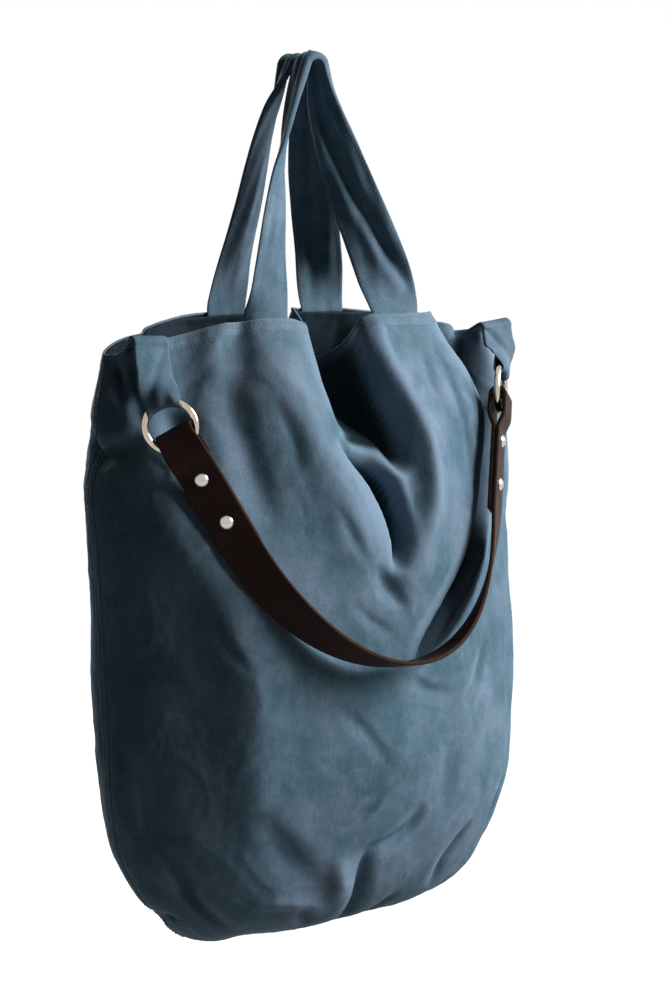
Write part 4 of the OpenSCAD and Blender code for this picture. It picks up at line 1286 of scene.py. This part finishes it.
# Build
build_body()
build_facing("front_inside_facing", -90, HANDLE_GAP, "front_facing")
build_facing("back_inside_facing", 90, BACK_GAP, "back_facing")
build_bindings()
build_seams()
HANDLES = [
    ("front", FRONT, HANDLE_GAP, handle_relief(front_legs, 0.6, 9, 40)),
    ("back", BACK, BACK_GAP, handle_relief(back_legs, 2.1, 8, 35)),
]
for handle in HANDLES:
    build_handle(*handle)
for handle in HANDLES:
    sew_handle(*handle)
build_tab(LEFT, "left")
build_tab(RIGHT, "right")
build_strap()
for label in ("left", "right"):
    for name, material in (("ring", nickel), ("rivet_caps", rivet_metal), ("rivet_posts", rivet_metal)):
        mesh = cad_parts[label + "_" + name].data
        mesh.materials.clear()
        mesh.materials.append(material)
        mesh.polygons.foreach_set("use_smooth", np.ones(len(mesh.polygons), bool))

# Camera, light and floor
AZIMUTH, PITCH = 35, 8.5
CAMERA_AT = (-0.860, -1.268, -0.105)
LENS, SENSOR = 72, 36

camera_data = bpy.data.cameras.new("camera")
camera_data.sensor_fit, camera_data.sensor_height, camera_data.lens = "VERTICAL", SENSOR, LENS
camera = bpy.data.objects.new("camera", camera_data)
scene.collection.objects.link(camera)
right = Vector((cosd(AZIMUTH), -sind(AZIMUTH), 0))
ahead = Vector((sind(AZIMUTH) * cosd(PITCH), cosd(AZIMUTH) * cosd(PITCH), -sind(PITCH)))
above = right.cross(ahead)
turned = Matrix((right, above, -ahead)).transposed().to_4x4()
camera.matrix_world = Matrix.Translation(CAMERA_AT) @ turned
scene.camera = camera

BAG_MIDDLE = (0, 0, -0.40)


def lamp(name, at, size, watts):
    """A square lamp that points at the middle of the bag."""
    data = bpy.data.lights.new(name, "AREA")
    data.shape, data.size, data.energy = "SQUARE", size, watts
    made = bpy.data.objects.new(name, data)
    scene.collection.objects.link(made)
    made.location = at
    made.rotation_euler = (Vector(BAG_MIDDLE) - Vector(at)).to_track_quat("-Z", "Y").to_euler()


def seen(tree):
    """1 for what the camera sees and for what metal shows, and 0 for the light on the bag."""
    path = node(tree, "ShaderNodeLightPath")
    mirrored = maths(tree, "MAXIMUM", path.outputs["Is Camera Ray"], path.outputs["Is Glossy Ray"])
    return maths(tree, "MAXIMUM", mirrored, path.outputs["Is Transmission Ray"])


def emptied(owner):
    owner.use_nodes = True
    owner.node_tree.nodes.clear()
    return owner.node_tree


lamp("key", (1.78, -1.42, 0.76), 1.4, 140)
lamp("back", (0.2, 2.6, 0.5), 1.6, 70)

FILL_LEVEL = 0.045
scene.world = bpy.data.worlds.new("studio")
tree = emptied(scene.world)
soft = node(tree, "ShaderNodeBackground", {"Color": (1, 1, 1, 1), "Strength": FILL_LEVEL})
white = node(tree, "ShaderNodeBackground", {"Color": (1, 1, 1, 1), "Strength": 1.0})
mixed = node(tree, "ShaderNodeMixShader", {0: seen(tree), 1: soft.outputs[0], 2: white.outputs[0]})
node(tree, "ShaderNodeOutputWorld", {"Surface": mixed.outputs[0]})

# The floor fades to the white of the surroundings away from the bag
FLOOR_Z, FLOOR_HALF, FLOOR_GRAY = -1.25, 30.0, 0.22
GLOW_NEAR, GLOW_BY_METRE = 0.84, 0.05
floor_material = bpy.data.materials.new("pale_floor")
tree = emptied(floor_material)
pale = node(tree, "ShaderNodeBsdfDiffuse", {"Color": (*tint(WHITE, FLOOR_GRAY), 1)})
far = node(tree, "ShaderNodeVectorMath", {0: place(tree)}, operation="LENGTH").outputs["Value"]
level = maths(tree, "MINIMUM", scaled(tree, far, GLOW_BY_METRE, GLOW_NEAR), 1.0)
strength = maths(tree, "MULTIPLY", seen(tree), level)
glow = node(tree, "ShaderNodeEmission", {"Color": (1, 1, 1, 1), "Strength": strength})
both = node(tree, "ShaderNodeAddShader", {0: pale.outputs[0], 1: glow.outputs[0]})
node(tree, "ShaderNodeOutputMaterial", {"Surface": both.outputs[0]})
k = np.linspace(-FLOOR_HALF, FLOOR_HALF, 9) / MM
fx, fy = np.meshgrid(k, k)
floor = add("floor", np.stack([fx, fy, 0 * fx + FLOOR_Z / MM], -1), quads(9, 9, False), floor_material)

scene.view_settings.view_transform = "Standard"
